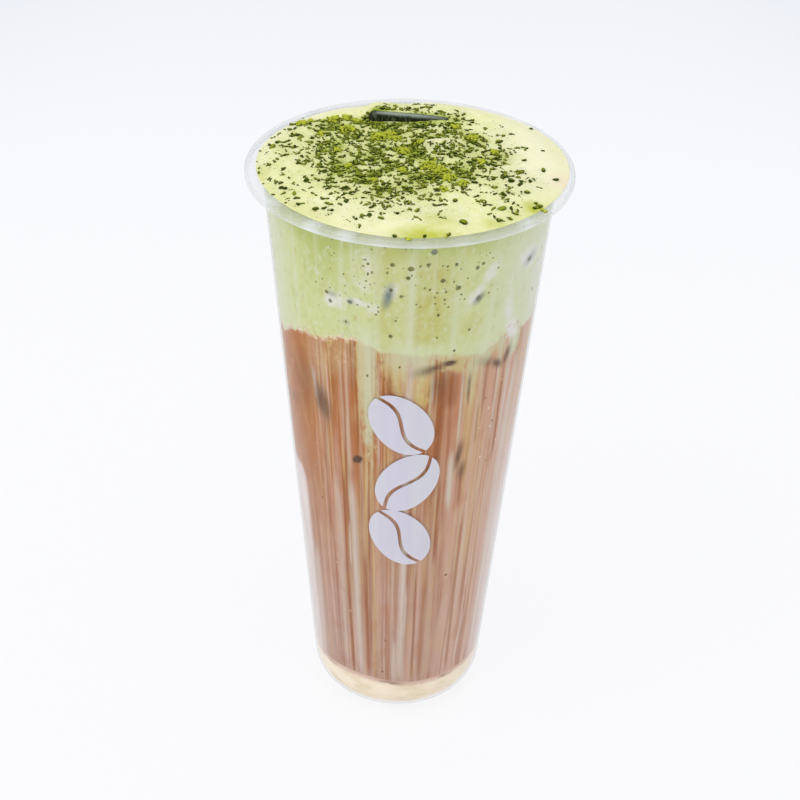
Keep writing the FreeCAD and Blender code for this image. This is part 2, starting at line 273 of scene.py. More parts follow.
def ripples(seed, count, across, up, slow, fast, upright=0.0):
    """A smooth random field: a sum of sine waves in azimuth and height.

    Each wave has a whole number of crests round the cup, from slow to fast, so the field closes
    on itself. Upright is how many radians its phase drifts for each millimetre of height.
    """
    rng = np.random.default_rng(seed)
    field = 0.0
    for _ in range(count):
        crests = rng.integers(slow, fast + 1)
        drift = rng.normal(0.0, 1.0) * upright
        field = field + np.sin(crests * across + drift * up + rng.uniform(0, TAU)) / math.sqrt(count / 2)
    return field


def arc(radius, height, rounding, start, end, count):
    """Points (radius, height) on a circle's arc, from start to end in degrees."""
    turn = np.radians(np.linspace(start, end, count))
    return np.stack([radius + rounding * np.cos(turn), height + rounding * np.sin(turn)], 1)


def about_axis(radius, azimuth, height):
    """Points at a radius, an azimuth and a height about the cup's axis."""
    radius, azimuth, height = np.broadcast_arrays(radius, azimuth, height)
    return np.stack([radius * np.sin(azimuth), -radius * np.cos(azimuth), height], -1)


def full_turn(columns):
    """Azimuths of evenly spaced columns, once round from the back."""
    return np.linspace(-np.pi, np.pi, columns, endpoint=False)


def lathe(profile, columns):
    """Turns a profile of (radius, height) rows about the axis into a grid of points."""
    return about_axis(profile[:, :1], full_turn(columns), profile[:, 1:])


def grid_faces(rows, columns, first=0, closed=True):
    """Quads between the rows of a grid whose points are numbered row by row from first."""
    row = np.arange(rows - 1)[:, None] * columns
    column = np.arange(columns if closed else columns - 1)[None, :]
    following = (column + 1) % columns
    above = row + columns
    quads = np.stack([row + column, row + following, above + following, above + column], 2)
    return quads.reshape(-1, 4) + first


def shell(points):
    """Vertices and faces of a closed grid (rows, columns, 3) whose first and last rows are poles."""
    rows, columns = points.shape[:2]
    inner = points[1:-1].reshape(-1, 3)
    verts = np.concatenate([points[0, :1], inner, points[-1, :1]])
    around = np.arange(columns)
    following = (around + 1) % columns
    top = 1 + (rows - 3) * columns
    low = np.stack([np.zeros_like(around), following + 1, around + 1], 1)
    high = np.stack([top + around, top + following, np.full_like(around, len(verts) - 1)], 1)
    return verts, grid_faces(rows - 2, columns, 1).tolist() + low.tolist() + high.tolist()


def shell_values(values):
    """Takes one value per grid point to the vertices that shell makes."""
    flat = values[1:-1].reshape(-1, *values.shape[2:])
    return np.concatenate([values[0, :1], flat, values[-1, :1]])


def weld(mesh):
    """Merges points that lie on one another, so that a ring drawn in to a point leaves no empty faces."""
    work = bmesh.new()
    work.from_mesh(mesh)
    bmesh.ops.remove_doubles(work, verts=work.verts[:], dist=1e-7)
    work.to_mesh(mesh)
    work.free()


def new_piece(name, verts, faces, material, nodes=(), values=None, sharp_from=60.0, welded=False):
    """Makes a mesh from vertices in millimetres, with its material and its place in the frame.

    Values holds an array for each attribute that the material reads, with one row per vertex.
    """
    mesh = bpy.data.meshes.new(name)
    faces = faces if isinstance(faces, list) else faces.tolist()
    mesh.from_pydata((np.asarray(verts) * MM).tolist(), [], faces)
    mesh.update()
    for key, value in (values or {}).items():
        value = np.asarray(value, dtype=np.float32)
        kind, field = ("FLOAT", "value") if value.ndim == 1 else ("FLOAT_VECTOR", "vector")
        layer = mesh.attributes.new(key, kind, "POINT")
        layer.data.foreach_set(field, value.ravel())
    if welded:
        weld(mesh)
    mesh.shade_smooth()
    mesh.set_sharp_from_angle(angle=math.radians(sharp_from))
    mesh.materials.append(material)
    piece = bpy.data.objects.new(name, mesh)
    bpy.context.scene.collection.objects.link(piece)
    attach(piece, "root")
    if nodes:
        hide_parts(*nodes)
    return piece


# ---------------------------------------------------------------- shader maths

class Signal:
    """One output socket of a material. Python's operators on values add Math nodes."""

    def __init__(self, paint, socket):
        self.paint = paint
        self.socket = socket

    def math(self, operation, *others, first=None):
        """Adds a Math node on this signal and others, or with another value first."""
        values = [self if first is None else first, *others]
        return self.paint.node("Math", {"operation": operation}, dict(enumerate(values)))

    def __add__(self, other):
        return self.math("ADD", other)

    def __radd__(self, other):
        return self.math("ADD", other)

    def __sub__(self, other):
        return self.math("SUBTRACT", other)

    def __rsub__(self, other):
        return self.math("SUBTRACT", self, first=other)

    def __mul__(self, other):
        return self.math("MULTIPLY", other)

    def __rmul__(self, other):
        return self.math("MULTIPLY", other)

    def __pow__(self, other):
        return self.math("POWER", other)

    def most(self, other):
        """The larger of two values."""
        return self.math("MAXIMUM", other)

    def least(self, other):
        """The smaller of two values."""
        return self.math("MINIMUM", other)


class Paint:
    """A procedural material under construction."""

    def __init__(self, name):
        self.material = bpy.data.materials.new(name)
        self.material.use_nodes = True
        self.tree = self.material.node_tree
        self.tree.nodes.clear()

    def node(self, kind, setup=None, inputs=None, output=0):
        """Adds a node, sets it up, fills its inputs and wraps one of its outputs."""
        made = self.tree.nodes.new(f"ShaderNode{kind}")
        for key, value in (setup or {}).items():
            setattr(made, key, value)
        for key, value in (inputs or {}).items():
            if isinstance(value, Signal):
                self.tree.links.new(value.socket, made.inputs[key])
            else:
                made.inputs[key].default_value = value
        return Signal(self, made.outputs[output])

    def attribute(self, name, vector=False):
        """A value, or a vector, that the mesh holds at each vertex."""
        return self.node("Attribute", {"attribute_name": name}, output=1 if vector else 2)

    def noise(self, place, size, stretch=(1, 1, 1), detail=2.0, roughness=0.5, distortion=0.0):
        """Noise whose features are about size millimetres wide, drawn out by stretch."""
        scale = tuple(1.0 / (MM * size * s) for s in stretch)
        mapped = self.node("Mapping", {}, {"Vector": place, "Scale": scale})
        return self.node("TexNoise", {}, {
            "Vector": mapped, "Scale": 1.0,
            "Detail": detail, "Roughness": roughness, "Distortion": distortion,
        })

    def step(self, value, low, high, least=0.0, most=1.0):
        """A smooth step from least at low to most at high; high may lie below low."""
        return self.node("MapRange", {"interpolation_type": "SMOOTHSTEP"}, {
            "Value": value, "From Min": low, "From Max": high, "To Min": least, "To Max": most,
        })

    def mix(self, factor, first, second):
        """Blends two colours."""
        first, second = (v if isinstance(v, Signal) else (*v, 1.0) for v in (first, second))
        return self.node("Mix", {"data_type": "RGBA"}, {0: factor, 6: first, 7: second}, output=2)

    def over(self, ground, layers):
        """Lays (strength, colour) layers over a ground colour, one after the other."""
        for strength, tint in layers:
            ground = self.mix(strength, ground, tint)
        return ground

    def bump(self, height, distance, strength=1.0):
        """A Normal from a height in 0 to 1 that stands for distance millimetres."""
        return self.node("Bump", {}, {"Height": height, "Distance": distance * MM, "Strength": strength})

    def place(self):
        """Object coordinates."""
        return self.node("TexCoord", output=3)

    def principled(self, **inputs):
        """A Principled shader whose sockets are named with underscores for spaces."""
        return self.node("BsdfPrincipled", {}, {k.replace("_", " "): v for k, v in inputs.items()})

    def see_through(self, solidity, solid):
        """A shader that lets what lies behind it show where solidity is below 1."""
        return self.node("MixShader", {}, {0: solidity, 1: self.node("BsdfTransparent"), 2: solid})

    def finish(self, shader):
        """Makes a shader the material's surface."""
        end = self.tree.nodes.new("ShaderNodeOutputMaterial")
        self.tree.links.new(shader.socket, end.inputs[0])
        return self.material


# ---------------------------------------------------------------- the cup

class Wall:
    """The cup's section, worked out from its settings, in millimetres."""

    def __init__(self):
        cup = settings("cup")
        self.mouth = RIM_RADIUS - cup.rim_width / MM
        self.toe = cup.toe_radius / MM
        self.wall = cup.wall / MM
        self.floor = cup.floor / MM
        self.heel = cup.heel_rounding / MM
        self.slope = (self.mouth - self.toe) / HEIGHT
        self.lean = math.degrees(math.atan(self.slope))
        self.heel_reach = math.hypot(1, self.slope) - self.slope
        self.heel_radius = self.toe + self.wall - self.heel * self.heel_reach
        self.ring = self.heel_radius - cup.ring_width / MM
        self.foot = self.ring - cup.foot_slope / MM
        self.foot_height = cup.foot_height / MM

    def inside(self, height):
        """Inner radius, which grows evenly with height."""
        return self.toe + self.slope * height

    def outside(self, height):
        """Outer radius."""
        return self.inside(height) + self.wall

    def lower_inside(self, extra=0.0):
        """The inside from the axis out along the floor and round the heel, moved out by extra.

        The heel is an arc that touches both the floor and the leaning wall.
        """
        inner_heel = self.heel - self.wall
        rounding = inner_heel + extra
        floor = self.floor - extra
        heel_radius = self.inside(self.floor) - inner_heel * self.heel_reach
        return np.concatenate([
            [[0.0, floor + self.foot_height], [self.foot, floor + self.foot_height], [self.ring, floor]],
            arc(heel_radius, floor + rounding, rounding, -90, -self.lean, 14),
        ])


def cup_profile():
    """The cup's closed section: under the base, up the outside, over the rim and down the inside."""
    cup, wall = settings("cup"), Wall()
    under = HEIGHT - cup.rim_thickness / MM
    hem = HEIGHT - cup.rim_drop / MM
    skirt = RIM_RADIUS - cup.skirt / MM
    rim = cup.rim_rounding / MM
    mouth = cup.mouth_rounding / MM
    neck, fold, crease = 0.7, 0.3, 0.2
    heel_top, levels = 12, 40
    outer = np.linspace(heel_top, under - neck, levels)
    inner = np.linspace(under - crease, heel_top, levels)
    return np.concatenate([
        [[0.0, wall.foot_height], [wall.foot - crease, wall.foot_height]],
        [[wall.foot, wall.foot_height - 0.05], [wall.ring, 0.0], [wall.ring + crease, 0.0]],
        arc(wall.heel_radius, wall.heel, wall.heel, -90, -wall.lean, 18),
        np.stack([wall.outside(outer), outer], 1),
        arc(wall.outside(under) + neck, under - neck, neck, 180, 90, 5),
        [[skirt, under]],
        arc(skirt + fold, hem + fold, fold, 180, 270, 4),
        arc(RIM_RADIUS - fold, hem + fold, fold, 270, 360, 4),
        arc(RIM_RADIUS - rim, HEIGHT - rim, rim, 0, 90, 7),
        arc(wall.mouth + mouth, HEIGHT - mouth, mouth, 90, 180 - wall.lean, 6),
        np.stack([wall.inside(inner), inner], 1),
        wall.lower_inside()[::-1],
    ])


def cup_material():
    """Clear, slightly milky plastic: see-through, hazier at its rim, along flow lines and edge on."""
    cup = settings("cup")
    paint = Paint("clear plastic")
    haze = paint.attribute("haze")
    edge_on = paint.node("LayerWeight", {}, {"Blend": 0.5}, output=1) ** 5.0
    cloud = (haze + edge_on * 0.16).least(0.95)
    clear = paint.node("BsdfTransparent", {}, {"Color": (*CLEAR, 1.0)})
    milky = paint.node("BsdfDiffuse", {}, {"Color": (*cup.haze, 1.0)})
    glowing = paint.node("BsdfTranslucent", {}, {"Color": (*cup.haze, 1.0)})
    milky = paint.node("MixShader", {}, {0: 0.4, 1: milky, 2: glowing})
    body = paint.node("MixShader", {}, {0: cloud, 1: clear, 2: milky})
    gloss = paint.node("BsdfGlossy", {}, {"Roughness": 0.04})
    return paint.finish(paint.node("MixShader", {}, {0: edge_on * 0.7 + 0.03, 1: body, 2: gloss}))


# azimuths of the painted highlights along the rim
PAINTED_GLEAMS = (-56, -34, -21, 44, 128, -142)


def cup_haze(azimuth, radius, height):
    """How milky the plastic looks, from 0 to 1.

    The wall is nearly clear but for its flow lines. The rim is milky along its hem and its outer
    top edge, unevenly round it, most towards the front and in a few gleams.
    """
    cup = settings("cup")
    angle = np.degrees(azimuth)
    hem = HEIGHT - cup.rim_drop / MM
    # pale upright streaks: flow lines, and painted reflections on the wall
    flow_and_reflection = smooth(ripples(3, 14, azimuth, height, 9, 60, 0.004), 0.9, 2.2) * smooth(height, 6, 30)
    on_rim = smooth(radius, RIM_RADIUS - 5.2, RIM_RADIUS - 4.4) * smooth(height, hem - 0.6, hem - 0.1)
    # painted highlight lines along the hem and the outer top edge, which are also milkier
    hem_haze_and_highlight = bump(height, hem + 0.1, 0.7)
    round_haze_and_highlight = bump(radius, RIM_RADIUS - 0.3, 0.8) * smooth(height, HEIGHT - 1.0, HEIGHT - 0.2)
    skirt = smooth(height, HEIGHT - 0.2, HEIGHT - 0.9)
    # milkier at random, and towards the front as painted light falling from the front
    uneven = 0.9 + 0.16 * ripples(4, 8, azimuth, 0 * height, 3, 30) + 0.6 * bump(angle, 0, 80)
    rim = cup.rim_haze * uneven * (0.12 + 0.22 * skirt + 0.6 * gather([hem_haze_and_highlight, 0.4 * round_haze_and_highlight]))
    # painted highlights at a few places along the rim
    painted_gleam = 0.35 * gather([bump(angle, middle, 5) for middle in PAINTED_GLEAMS])
    return np.clip(cup.wall_haze + 0.04 * flow_and_reflection + on_rim * (rim + painted_gleam), 0, 0.95)


def make_cup():
    """The clear cup, turned about the axis from its section."""
    grid = lathe(cup_profile(), 256)
    azimuth = np.arctan2(grid[..., 0], -grid[..., 1])
    haze = cup_haze(azimuth, np.hypot(grid[..., 0], grid[..., 1]), grid[..., 2])
    verts, faces = shell(grid)
    values = {"haze": shell_values(haze)}
    new_piece("clear_cup", verts, faces, cup_material(), ["cup"], values)


# ---------------------------------------------------------------- levels of the layers

# where the levels' waves have a crest, anticlockwise from +X
CREST = math.radians(-118.0)
# from the middle of the condensed milk's height up to its mean level
MILK_RISE = 6.7
# radius of the straight tube that the streaks are drawn on
TUBE_RADIUS = 30


def wavy_level(wall, mean, lean, waves, azimuth, part):
    """Height of a level at an azimuth and a part of the way from the axis to the wall.

    It leans to one side and has waves of three and of five crests round it, which grow to the wall.
    """
    reach = wall.inside(mean)
    x, y, _ = np.moveaxis(about_axis(part * reach, azimuth, 0.0), -1, 0)
    grown = np.minimum(np.hypot(x, y) / reach, 1.0)
    turned = np.arctan2(y, x) - CREST
    crests = grown**3 * np.cos(3 * turned) + grown**5 * np.cos(5 * turned) / 2
    return mean - lean * x / reach + waves * crests


def milk_level(wall, azimuth, part=1.0):
    """Top of the condensed milk at a part of the way from the axis to the wall."""
    mean = (MILK_HIGH[2] + MILK_LOW[2]) / 2 + MILK_RISE
    return wavy_level(wall, mean, 0.0, settings("drink").wave / MM, azimuth, part)


def foam_level(wall, azimuth, part=1.0):
    """Underside of the foam at a part of the way from the axis to the wall."""
    foam = settings("foam")
    mean = HEIGHT - foam.depth / MM
    return wavy_level(wall, mean, foam.lean / MM, foam.waves / MM, azimuth, part)


def straightened(azimuth, height):
    """Places on the wall as on a straight tube, in metres, so that streaks follow the taper."""
    return about_axis(TUBE_RADIUS, azimuth, height) * MM


# ---------------------------------------------------------------- condensed milk

def milk_material():
    """Glossy ivory, browner in a thin uneven band where the coffee has mixed in."""
    drink = settings("drink")
    paint = Paint("condensed milk")
    cloudy = paint.noise(paint.place(), 9.0, (1, 1, 0.5), 3.0)
    tint = paint.mix(paint.step(cloudy, 0.35, 0.7), drink.milk, DEEPER_MILK)
    edge = paint.attribute("edge")
    streaks = paint.noise(paint.attribute("straight", True), 3.5, (1, 1, 0.35), 3.0)
    mixed = (edge * 1.35 + streaks - 0.75).most(0.0).least(1.0)
    tint = paint.mix(mixed * 0.8, tint, drink.blush)
    tint = paint.mix(paint.attribute("dash") * paint.step(streaks, 0.36, 0.5), tint, drink.ice)
    rough = paint.step(cloudy, 0.3, 0.7, 0.25, 0.36)
    return paint.finish(paint.principled(Base_Color=tint, Roughness=rough, IOR=1.45))


# middle and half width in degrees of the darker dashes along the condensed milk's upper edge
DASHES = ((-4, 12), (36, 8), (-50, 7), (110, 14), (-130, 16))


def make_milk():
    """Condensed milk: the cup's lower inside, reaching just into its wall, up to a wavy level."""
    wall = Wall()
    reach = settings("drink").reach / MM
    turn = full_turn(360)
    lower = wall.lower_inside(reach)
    start = lower[-1, 1]
    level = milk_level(wall, turn)
    height = start + (level - start) * np.linspace(0, 1, 14)[1:, None]
    radius = wall.inside(height) + reach
    parts = np.array([0.97, 0.7, 0.35, 0.0])[:, None]
    grid = np.concatenate([
        lathe(lower, len(turn)), about_axis(radius, turn, height),
        about_axis(parts * radius[-1], turn, milk_level(wall, turn, parts)),
    ])
    azimuth, height = np.broadcast_to(turn, grid.shape[:2]), grid[..., 2]
    dashes = gather([bump(np.degrees(azimuth), middle, half) for middle, half in DASHES])
    verts, faces = shell(grid)
    values = {
        "edge": shell_values(smooth(height, level - 3.2, level - 0.2)),
        "dash": shell_values(0.75 * dashes * bump(height, level - 0.9, 1.1)),
        "straight": shell_values(straightened(azimuth, height)),
    }
    new_piece("condensed_milk_layer", verts, faces, milk_material(), ["condensed_milk"], values)


# ---------------------------------------------------------------- what lies against the wall

# length of a degree of azimuth along the wall, at a height of about 130
MM_PER_DEGREE = 0.62


def streak(azimuth, height, middle, half, low, high, strength, bend=0.0):
    """An upright streak: a bell across the azimuth that wanders and fades at both ends."""
    wander = 0.35 * np.sin(0.07 * height + 5 * middle) + bend * (height - low) / (high - low)
    fade = min(9.0, (high - low) / 3) - 1
    ends = smooth(height, low - 1, low + fade) * smooth(height, high + 1, high - fade)
    return strength * bump(np.degrees(azimuth), middle + wander, 1.25 * half) * ends


def blot(azimuth, height, middle, level, wide, tall, lean=0.0, soft=0.45):
    """A soft-edged oval patch whose half axes are wide and tall in millimetres, leaning by lean."""
    across = (np.degrees(azimuth) - middle) * MM_PER_DEGREE
    up = height - level - lean * across
    return smooth(np.hypot(across / wide, up / tall), 1.0 + soft, 1.0 - soft)


# streaks at the front: middle and half width in degrees, from height, to height, strength, bend
# the cream streak at 2 degrees is a painted reflection running up the wall; those at 13 and 24.4 degrees
# are painted highlights
CREAM_STREAKS = (
    (2.0, 2.3, 14, 143, 0.80, 0.6), (4.4, 0.8, 34, 57, 0.9), (3.2, 0.6, 62, 120, 0.5),
    (-1.6, 1.9, 14, 34, 0.6), (-23.4, 2.4, 14, 96, 0.72, -2.6), (-27.5, 0.6, 60, 80, 0.9, -0.4),
    (-34.6, 1.5, 18, 98, 0.45), (-57, 3.0, 14, 62, 0.5), (24.4, 2.0, 84, 107.5, 0.85),
    (13, 0.8, 125, 135, 0.7), (26.4, 0.8, 107, 136, 0.6), (42.0, 1.6, 17, 41, 0.6, 4.0),
    (46.6, 1.0, 104, 143, 0.7), (54.5, 1.5, 100, 138, 0.8), (60, 2.4, 16, 134, 0.8),
    (-43.8, 0.9, 118, 131, 0.8, -1.5), (49.0, 0.5, 60, 96, 0.6), (57.4, 0.8, 60, 120, 0.6),
    (37.0, 0.5, 60, 92, 0.5), (-28.8, 0.5, 104, 141, 0.5), (-43.6, 0.6, 118, 130, 0.7),
    (-36.2, 0.6, 116, 139, 0.5), (-10.8, 0.6, 100, 141, 0.45),
)
BLUSH_STREAKS = (
    (-49, 2.4, 14, 76, 0.6), (-42.5, 0.8, 100, 142, 0.5), (-39.4, 1.2, 110, 143, 0.6),
    (-36.4, 1.0, 108, 141, 0.5), (-33.4, 1.3, 14, 92, 0.6), (-29.6, 0.8, 98, 143, 0.6),
    (-26.0, 1.4, 96, 144, 0.85), (-20.2, 0.8, 104, 128, 0.5), (-9.6, 0.6, 104, 141, 0.6),
    (-8, 0.8, 14, 63, 0.6), (-10.6, 0.8, 14, 63, 0.5), (-5.6, 0.7, 20, 63, 0.5),
    (7.0, 1.3, 14, 63, 0.6), (12.6, 0.9, 112, 134, 0.6), (23.0, 1.9, 14, 62, 0.6),
    (30.8, 1.8, 14, 63, 0.55), (20.4, 0.8, 92, 120, 0.4), (43.5, 1.6, 92, 132, 0.5),
    (50, 1.6, 62, 100, 0.5), (54, 3.0, 16, 134, 0.7), (61, 4.0, 14, 132, 0.8),
    (-45.8, 1.0, 86, 112, 0.5), (-33.0, 0.9, 92, 116, 0.6), (13.5, 0.8, 20, 60, 0.3),
)
TAN_STREAKS = (
    (-14.2, 1.3, 14, 116, 0.8), (-31.2, 0.9, 116, 142, 0.5), (-37.8, 0.8, 98, 140, 0.6),
    (-41, 0.8, 118, 142, 0.6), (-12.2, 1.2, 60, 104, 0.5), (-17.6, 1.3, 78, 110, 0.7),
    (38.6, 1.3, 58, 122, 0.6), (41.2, 0.9, 58, 112, 0.7), (47.6, 1.2, 58, 104, 0.6),
    (33.0, 1.4, 92, 120, 0.5), (-26.2, 1.0, 96, 118, 0.4), (18.8, 0.7, 66, 96, 0.5),
    (-44, 0.8, 60, 90, 0.4), (36.5, 0.8, 96, 130, 0.5),
)
DARK_STREAKS = (
    (-18.8, 2.2, 14, 70, 0.85), (-30.0, 1.5, 14, 99, 0.85), (-31.8, 0.7, 118, 139, 0.7),
    (-22.2, 1.6, 126, 145, 1.0), (-21.6, 1.0, 104, 131, 0.6), (-6.3, 1.5, 119, 138, 1.0),
    (-8.8, 0.5, 124, 140, 0.8), (-16.4, 0.8, 58, 98, 0.6), (-28.4, 1.0, 70, 94, 0.6),
    (-40.4, 1.2, 68, 114, 0.6), (10, 0.9, 14, 63, 0.8), (15.6, 2.4, 14, 63, 0.5),
    (17.2, 1.9, 90, 136, 1.0), (21.6, 3.6, 122, 135.5, 1.0), (35.2, 1.4, 14, 82, 0.6),
    (30.2, 0.7, 122, 133, 0.8), (31.0, 1.6, 84, 102, 0.7), (36.8, 0.8, 108, 122, 0.5),
    (50.6, 1.2, 96, 133, 0.8), (19.6, 1.3, 64, 97, 0.7), (-24.6, 0.5, 128, 143, 0.6),
    (15.0, 0.7, 84, 122, 0.6), (-38.6, 0.6, 20, 66, 0.5), (52.5, 0.8, 30, 62, 0.4),
)
# each kind with its random streaks round the rest of the wall: seed, fewest and most crests
STREAKS = {
    "cream": (CREAM_STREAKS, 21, 20, 80),
    "blush": (BLUSH_STREAKS, 22, 14, 60),
    "tan": (TAN_STREAKS, 23, 18, 70),
    "dark": (DARK_STREAKS, 24, 14, 70),
}
# azimuth and height of the foam's edge on the coffee, once round the wall
BOUNDARY = (
    (-180, 140.5), (-150, 139), (-118, 142.5), (-90, 137), (-70, 135), (-60, 138.5), (-50, 141),
    (-38, 142.4), (-28, 144.6), (-20, 145.2), (-9, 142.6), (8, 141.5), (20, 141), (30, 139.2),
    (38, 139.8), (50, 143), (62, 141.5), (90, 138.5), (125, 141.5), (155, 139), (180, 140.5),
)


def placed_streaks(marks, azimuth, height):
    """Several streaks at once; where they overlap the strongest counts."""
    return gather(streak(azimuth, height, *mark) for mark in marks)


def streaks(kind, azimuth, height):
    """Placed streaks at the front and random ones of the same kind round the rest of the wall."""
    angle = np.degrees(azimuth)
    marks, seed, slow, fast = STREAKS[kind]
    rest = 0.8 * smooth(ripples(seed, 18, azimuth, height, slow, fast, 0.012), 0.6, 2.2)
    behind = smooth(angle, 62, 72) + smooth(angle, -78, -96)
    return np.maximum(placed_streaks(marks, azimuth, height), rest * behind * smooth(height, 14, 20))


# azimuth, height, half width, half height, lean, softness and depth of each shadow of sunken ice
SHADOWS = (
    (-52.0, 124.0, 5.0, 7.5, 0.5, 0.95, 0.34), (-40.2, 119.6, 2.6, 4.8, -0.7, 0.8, 0.85),
    (-66.0, 113.0, 5.0, 1.8, 0.35, 0.9, 0.35), (-21.8, 103.2, 1.35, 0.95, 0.35, 0.7, 2.2),
    (28.2, 104.4, 1.1, 3.8, 1.6, 0.8, 0.8), (30.6, 98.5, 1.3, 2.8, 0.4, 0.9, 0.6),
    (19.4, 138.0, 1.9, 0.8, 0.0, 0.6, 1.1), (13.0, 136.9, 3.4, 1.0, 0.25, 0.9, 0.8),
    (9.4, 136.0, 3.6, 1.4, 0.2, 0.9, 0.55), (44.8, 133.0, 1.9, 1.3, -0.5, 0.8, 0.85),
    (40.0, 134.6, 3.4, 1.5, -0.4, 0.9, 0.45), (50.8, 134.0, 1.5, 2.4, 0.9, 0.8, 0.8),
    (29.8, 128.5, 0.5, 4.5, 0.0, 0.6, 0.5), (15.0, 130.5, 2.2, 4.5, 0.5, 0.9, 0.45),
    (-7.2, 160.0, 1.2, 3.0, 1.3, 0.8, 0.9), (30.2, 157.4, 1.5, 1.3, 0.6, 0.7, 0.7),
    (58.5, 163.2, 2.4, 1.5, 0.2, 0.9, 0.55), (-22.4, 156.6, 0.9, 0.9, 0.0, 0.8, 0.45),
    (-31.0, 157.4, 1.2, 0.9, 0.0, 0.9, 0.45), (-25.0, 149.6, 0.9, 0.7, 0.0, 0.9, 0.4),
    (118.0, 126.0, 6.0, 3.0, -0.4, 0.8, 0.5), (152.0, 118.0, 4.0, 3.2, 0.6, 0.6, 0.6),
    (-128.0, 121.0, 5.0, 3.0, 0.3, 0.8, 0.55), (-160.0, 108.0, 2.6, 2.0, 0.0, 0.6, 0.6),
    (168.0, 158.0, 2.2, 1.3, 0.4, 0.8, 0.7), (94.0, 133.0, 2.4, 1.6, 0.3, 0.8, 0.6),
)
# the same for the air trapped between foam and wall
AIR = (
    (-30.0, 155.8, 3.6, 2.6, 0.1, 0.9, 0.95), (-18.5, 157.0, 4.0, 1.2, -0.1, 0.9, 0.85),
    (-13.0, 155.6, 1.8, 2.2, 0.5, 0.9, 0.7), (-15.0, 169.5, 2.2, 5.5, 0.0, 0.9, 0.62),
    (-16.0, 163.0, 2.4, 3.5, 0.0, 0.9, 0.6), (-6.5, 161.0, 2.4, 3.4, 0.8, 0.8, 0.8),
    (28.5, 158.6, 2.8, 2.8, 0.9, 0.9, 0.9), (35.0, 164.8, 3.0, 2.8, 0.8, 0.9, 0.8),
    (58.0, 163.6, 5.2, 3.6, -0.1, 0.8, 1.0), (47.5, 150.5, 2.2, 5.6, -0.8, 0.9, 0.75),
    (52.0, 142.5, 3.4, 3.6, -0.7, 0.9, 0.95), (46.0, 158.5, 1.6, 3.0, 0.8, 0.9, 0.6),
    (-38.0, 163.0, 2.2, 1.6, 0.0, 0.9, 0.45), (-25.0, 149.6, 2.2, 1.6, 0.0, 0.9, 0.5),
    (70.0, 155.0, 5.0, 16.0, 0.0, 0.9, 0.6), (132.0, 160.0, 7.0, 4.0, 0.3, 0.9, 0.8),
    (168.0, 158.0, 4.5, 3.0, 0.4, 0.9, 0.8), (-118.0, 158.0, 6.0, 4.0, -0.4, 0.9, 0.7),
    (-150.0, 165.0, 3.5, 5.5, 0.2, 0.9, 0.6), (102.0, 150.0, 3.0, 5.0, -0.5, 0.9, 0.7),
)
# pale streaks over the foam and the plumes, with the columns of the streaks above
# the first veil streak carries the painted reflection at 2 degrees on up through the foam
VEIL_STREAKS = (
    (1.8, 2.4, 134, 176, 0.8), (20.5, 2.6, 134, 166, 0.6), (-15.5, 6.0, 96, 152, 0.85),
    (-27, 1.0, 158, 172, 0.5), (30, 4.0, 116, 142, 0.7), (36, 15.0, 130, 145, 0.75),
)
# plumes of matcha cream: azimuth, half width, height of the tip, height where full, fullness
PLUMES = (
    (-15.8, 9.5, 88, 136, 0.66), (-4.0, 14.0, 120, 139, 0.60), (7.0, 7.5, 120, 128, 0.74),
    (21.0, 12.0, 131.5, 138.5, 0.66), (36.0, 22.0, 131, 141.5, 0.58), (31.6, 7.5, 108, 137, 0.62),
    (44.0, 10.0, 126, 142, 0.60), (56.0, 8.0, 128, 140, 0.85), (-26.0, 6.0, 134, 147, 0.55),
    (-36.0, 10.0, 135, 145, 0.45), (12.0, 3.0, 112, 134, 0.45), (1.2, 2.4, 100, 140, 0.40),
)


def blots(marks, azimuth, height):
    """Several soft patches at once; where they overlap the strongest counts."""
    return gather(mark[-1] * blot(azimuth, height, *mark[:-1]) for mark in marks)


def boundary(angle):
    """Height of the foam's edge on the coffee at an angle in degrees."""
    return np.interp(angle, *np.array(BOUNDARY).T)


def matcha_share(azimuth, height):
    """Share of matcha cream at the wall: all above the boundary, less in the plumes that sink from it.

    Returns the share and the height above the boundary. One clear spot interrupts the plumes,
    and a thin arch of cream curves over it.
    """
    angle = np.degrees(azimuth)
    away = np.abs(angle)
    above = height - boundary(angle) + 0.5 - 0.3 * ripples(31, 10, azimuth, height, 8, 60, 0.1)
    ragged = ripples(32, 8, azimuth, height, 9, 40, 0.12)
    clear = 1 - blot(azimuth, height, 19.5, 128.5, 3.8, 6.6, 0.0, 0.25)
    plumes = gather(
        full * bump(angle, middle, half) * smooth(height + 1.5 * ragged, low, high)
        for middle, half, low, high, full in PLUMES
    )
    random = 0.8 * smooth(ragged, 0.0, 1.8) * smooth(height, 104, 141) * smooth(away, 66, 84)
    arch = 0.62 * bump(angle, 20, 11) * bump(height, 136.2 - 0.008 * (angle - 19) ** 2, 1.4)
    soft = 0.7 + 3.0 * bump(angle, 18, 38) + 1.2 * smooth(away, 80, 110)
    return gather([smooth(above / soft, -1.1, 0.5), plumes * clear, random, arch]), above


def film_share(azimuth, height):
    """Milk that clings to the wall: at the left up to a slanting top, and at the right."""
    angle = np.degrees(azimuth)
    ragged = ripples(33, 8, azimuth, height, 9, 40, 0.12)
    top = 89.5 - 5 * smooth(angle, -66, -56)
    fading = 2.5 + 50 * smooth(angle, -74, -98)
    left = smooth(angle, -57, -64) * smooth(height, top, top - fading) * smooth(angle, -135, -90)
    low_left = smooth(angle, -50, -64) * smooth(height, 70, 40) * smooth(angle, -135, -95)
    right = smooth(angle, 50, 74) * smooth(height + 3 * ragged, 128, 70) * smooth(angle, 124, 84)
    return 0.85 * gather([left, 0.55 * low_left, 0.95 * right])


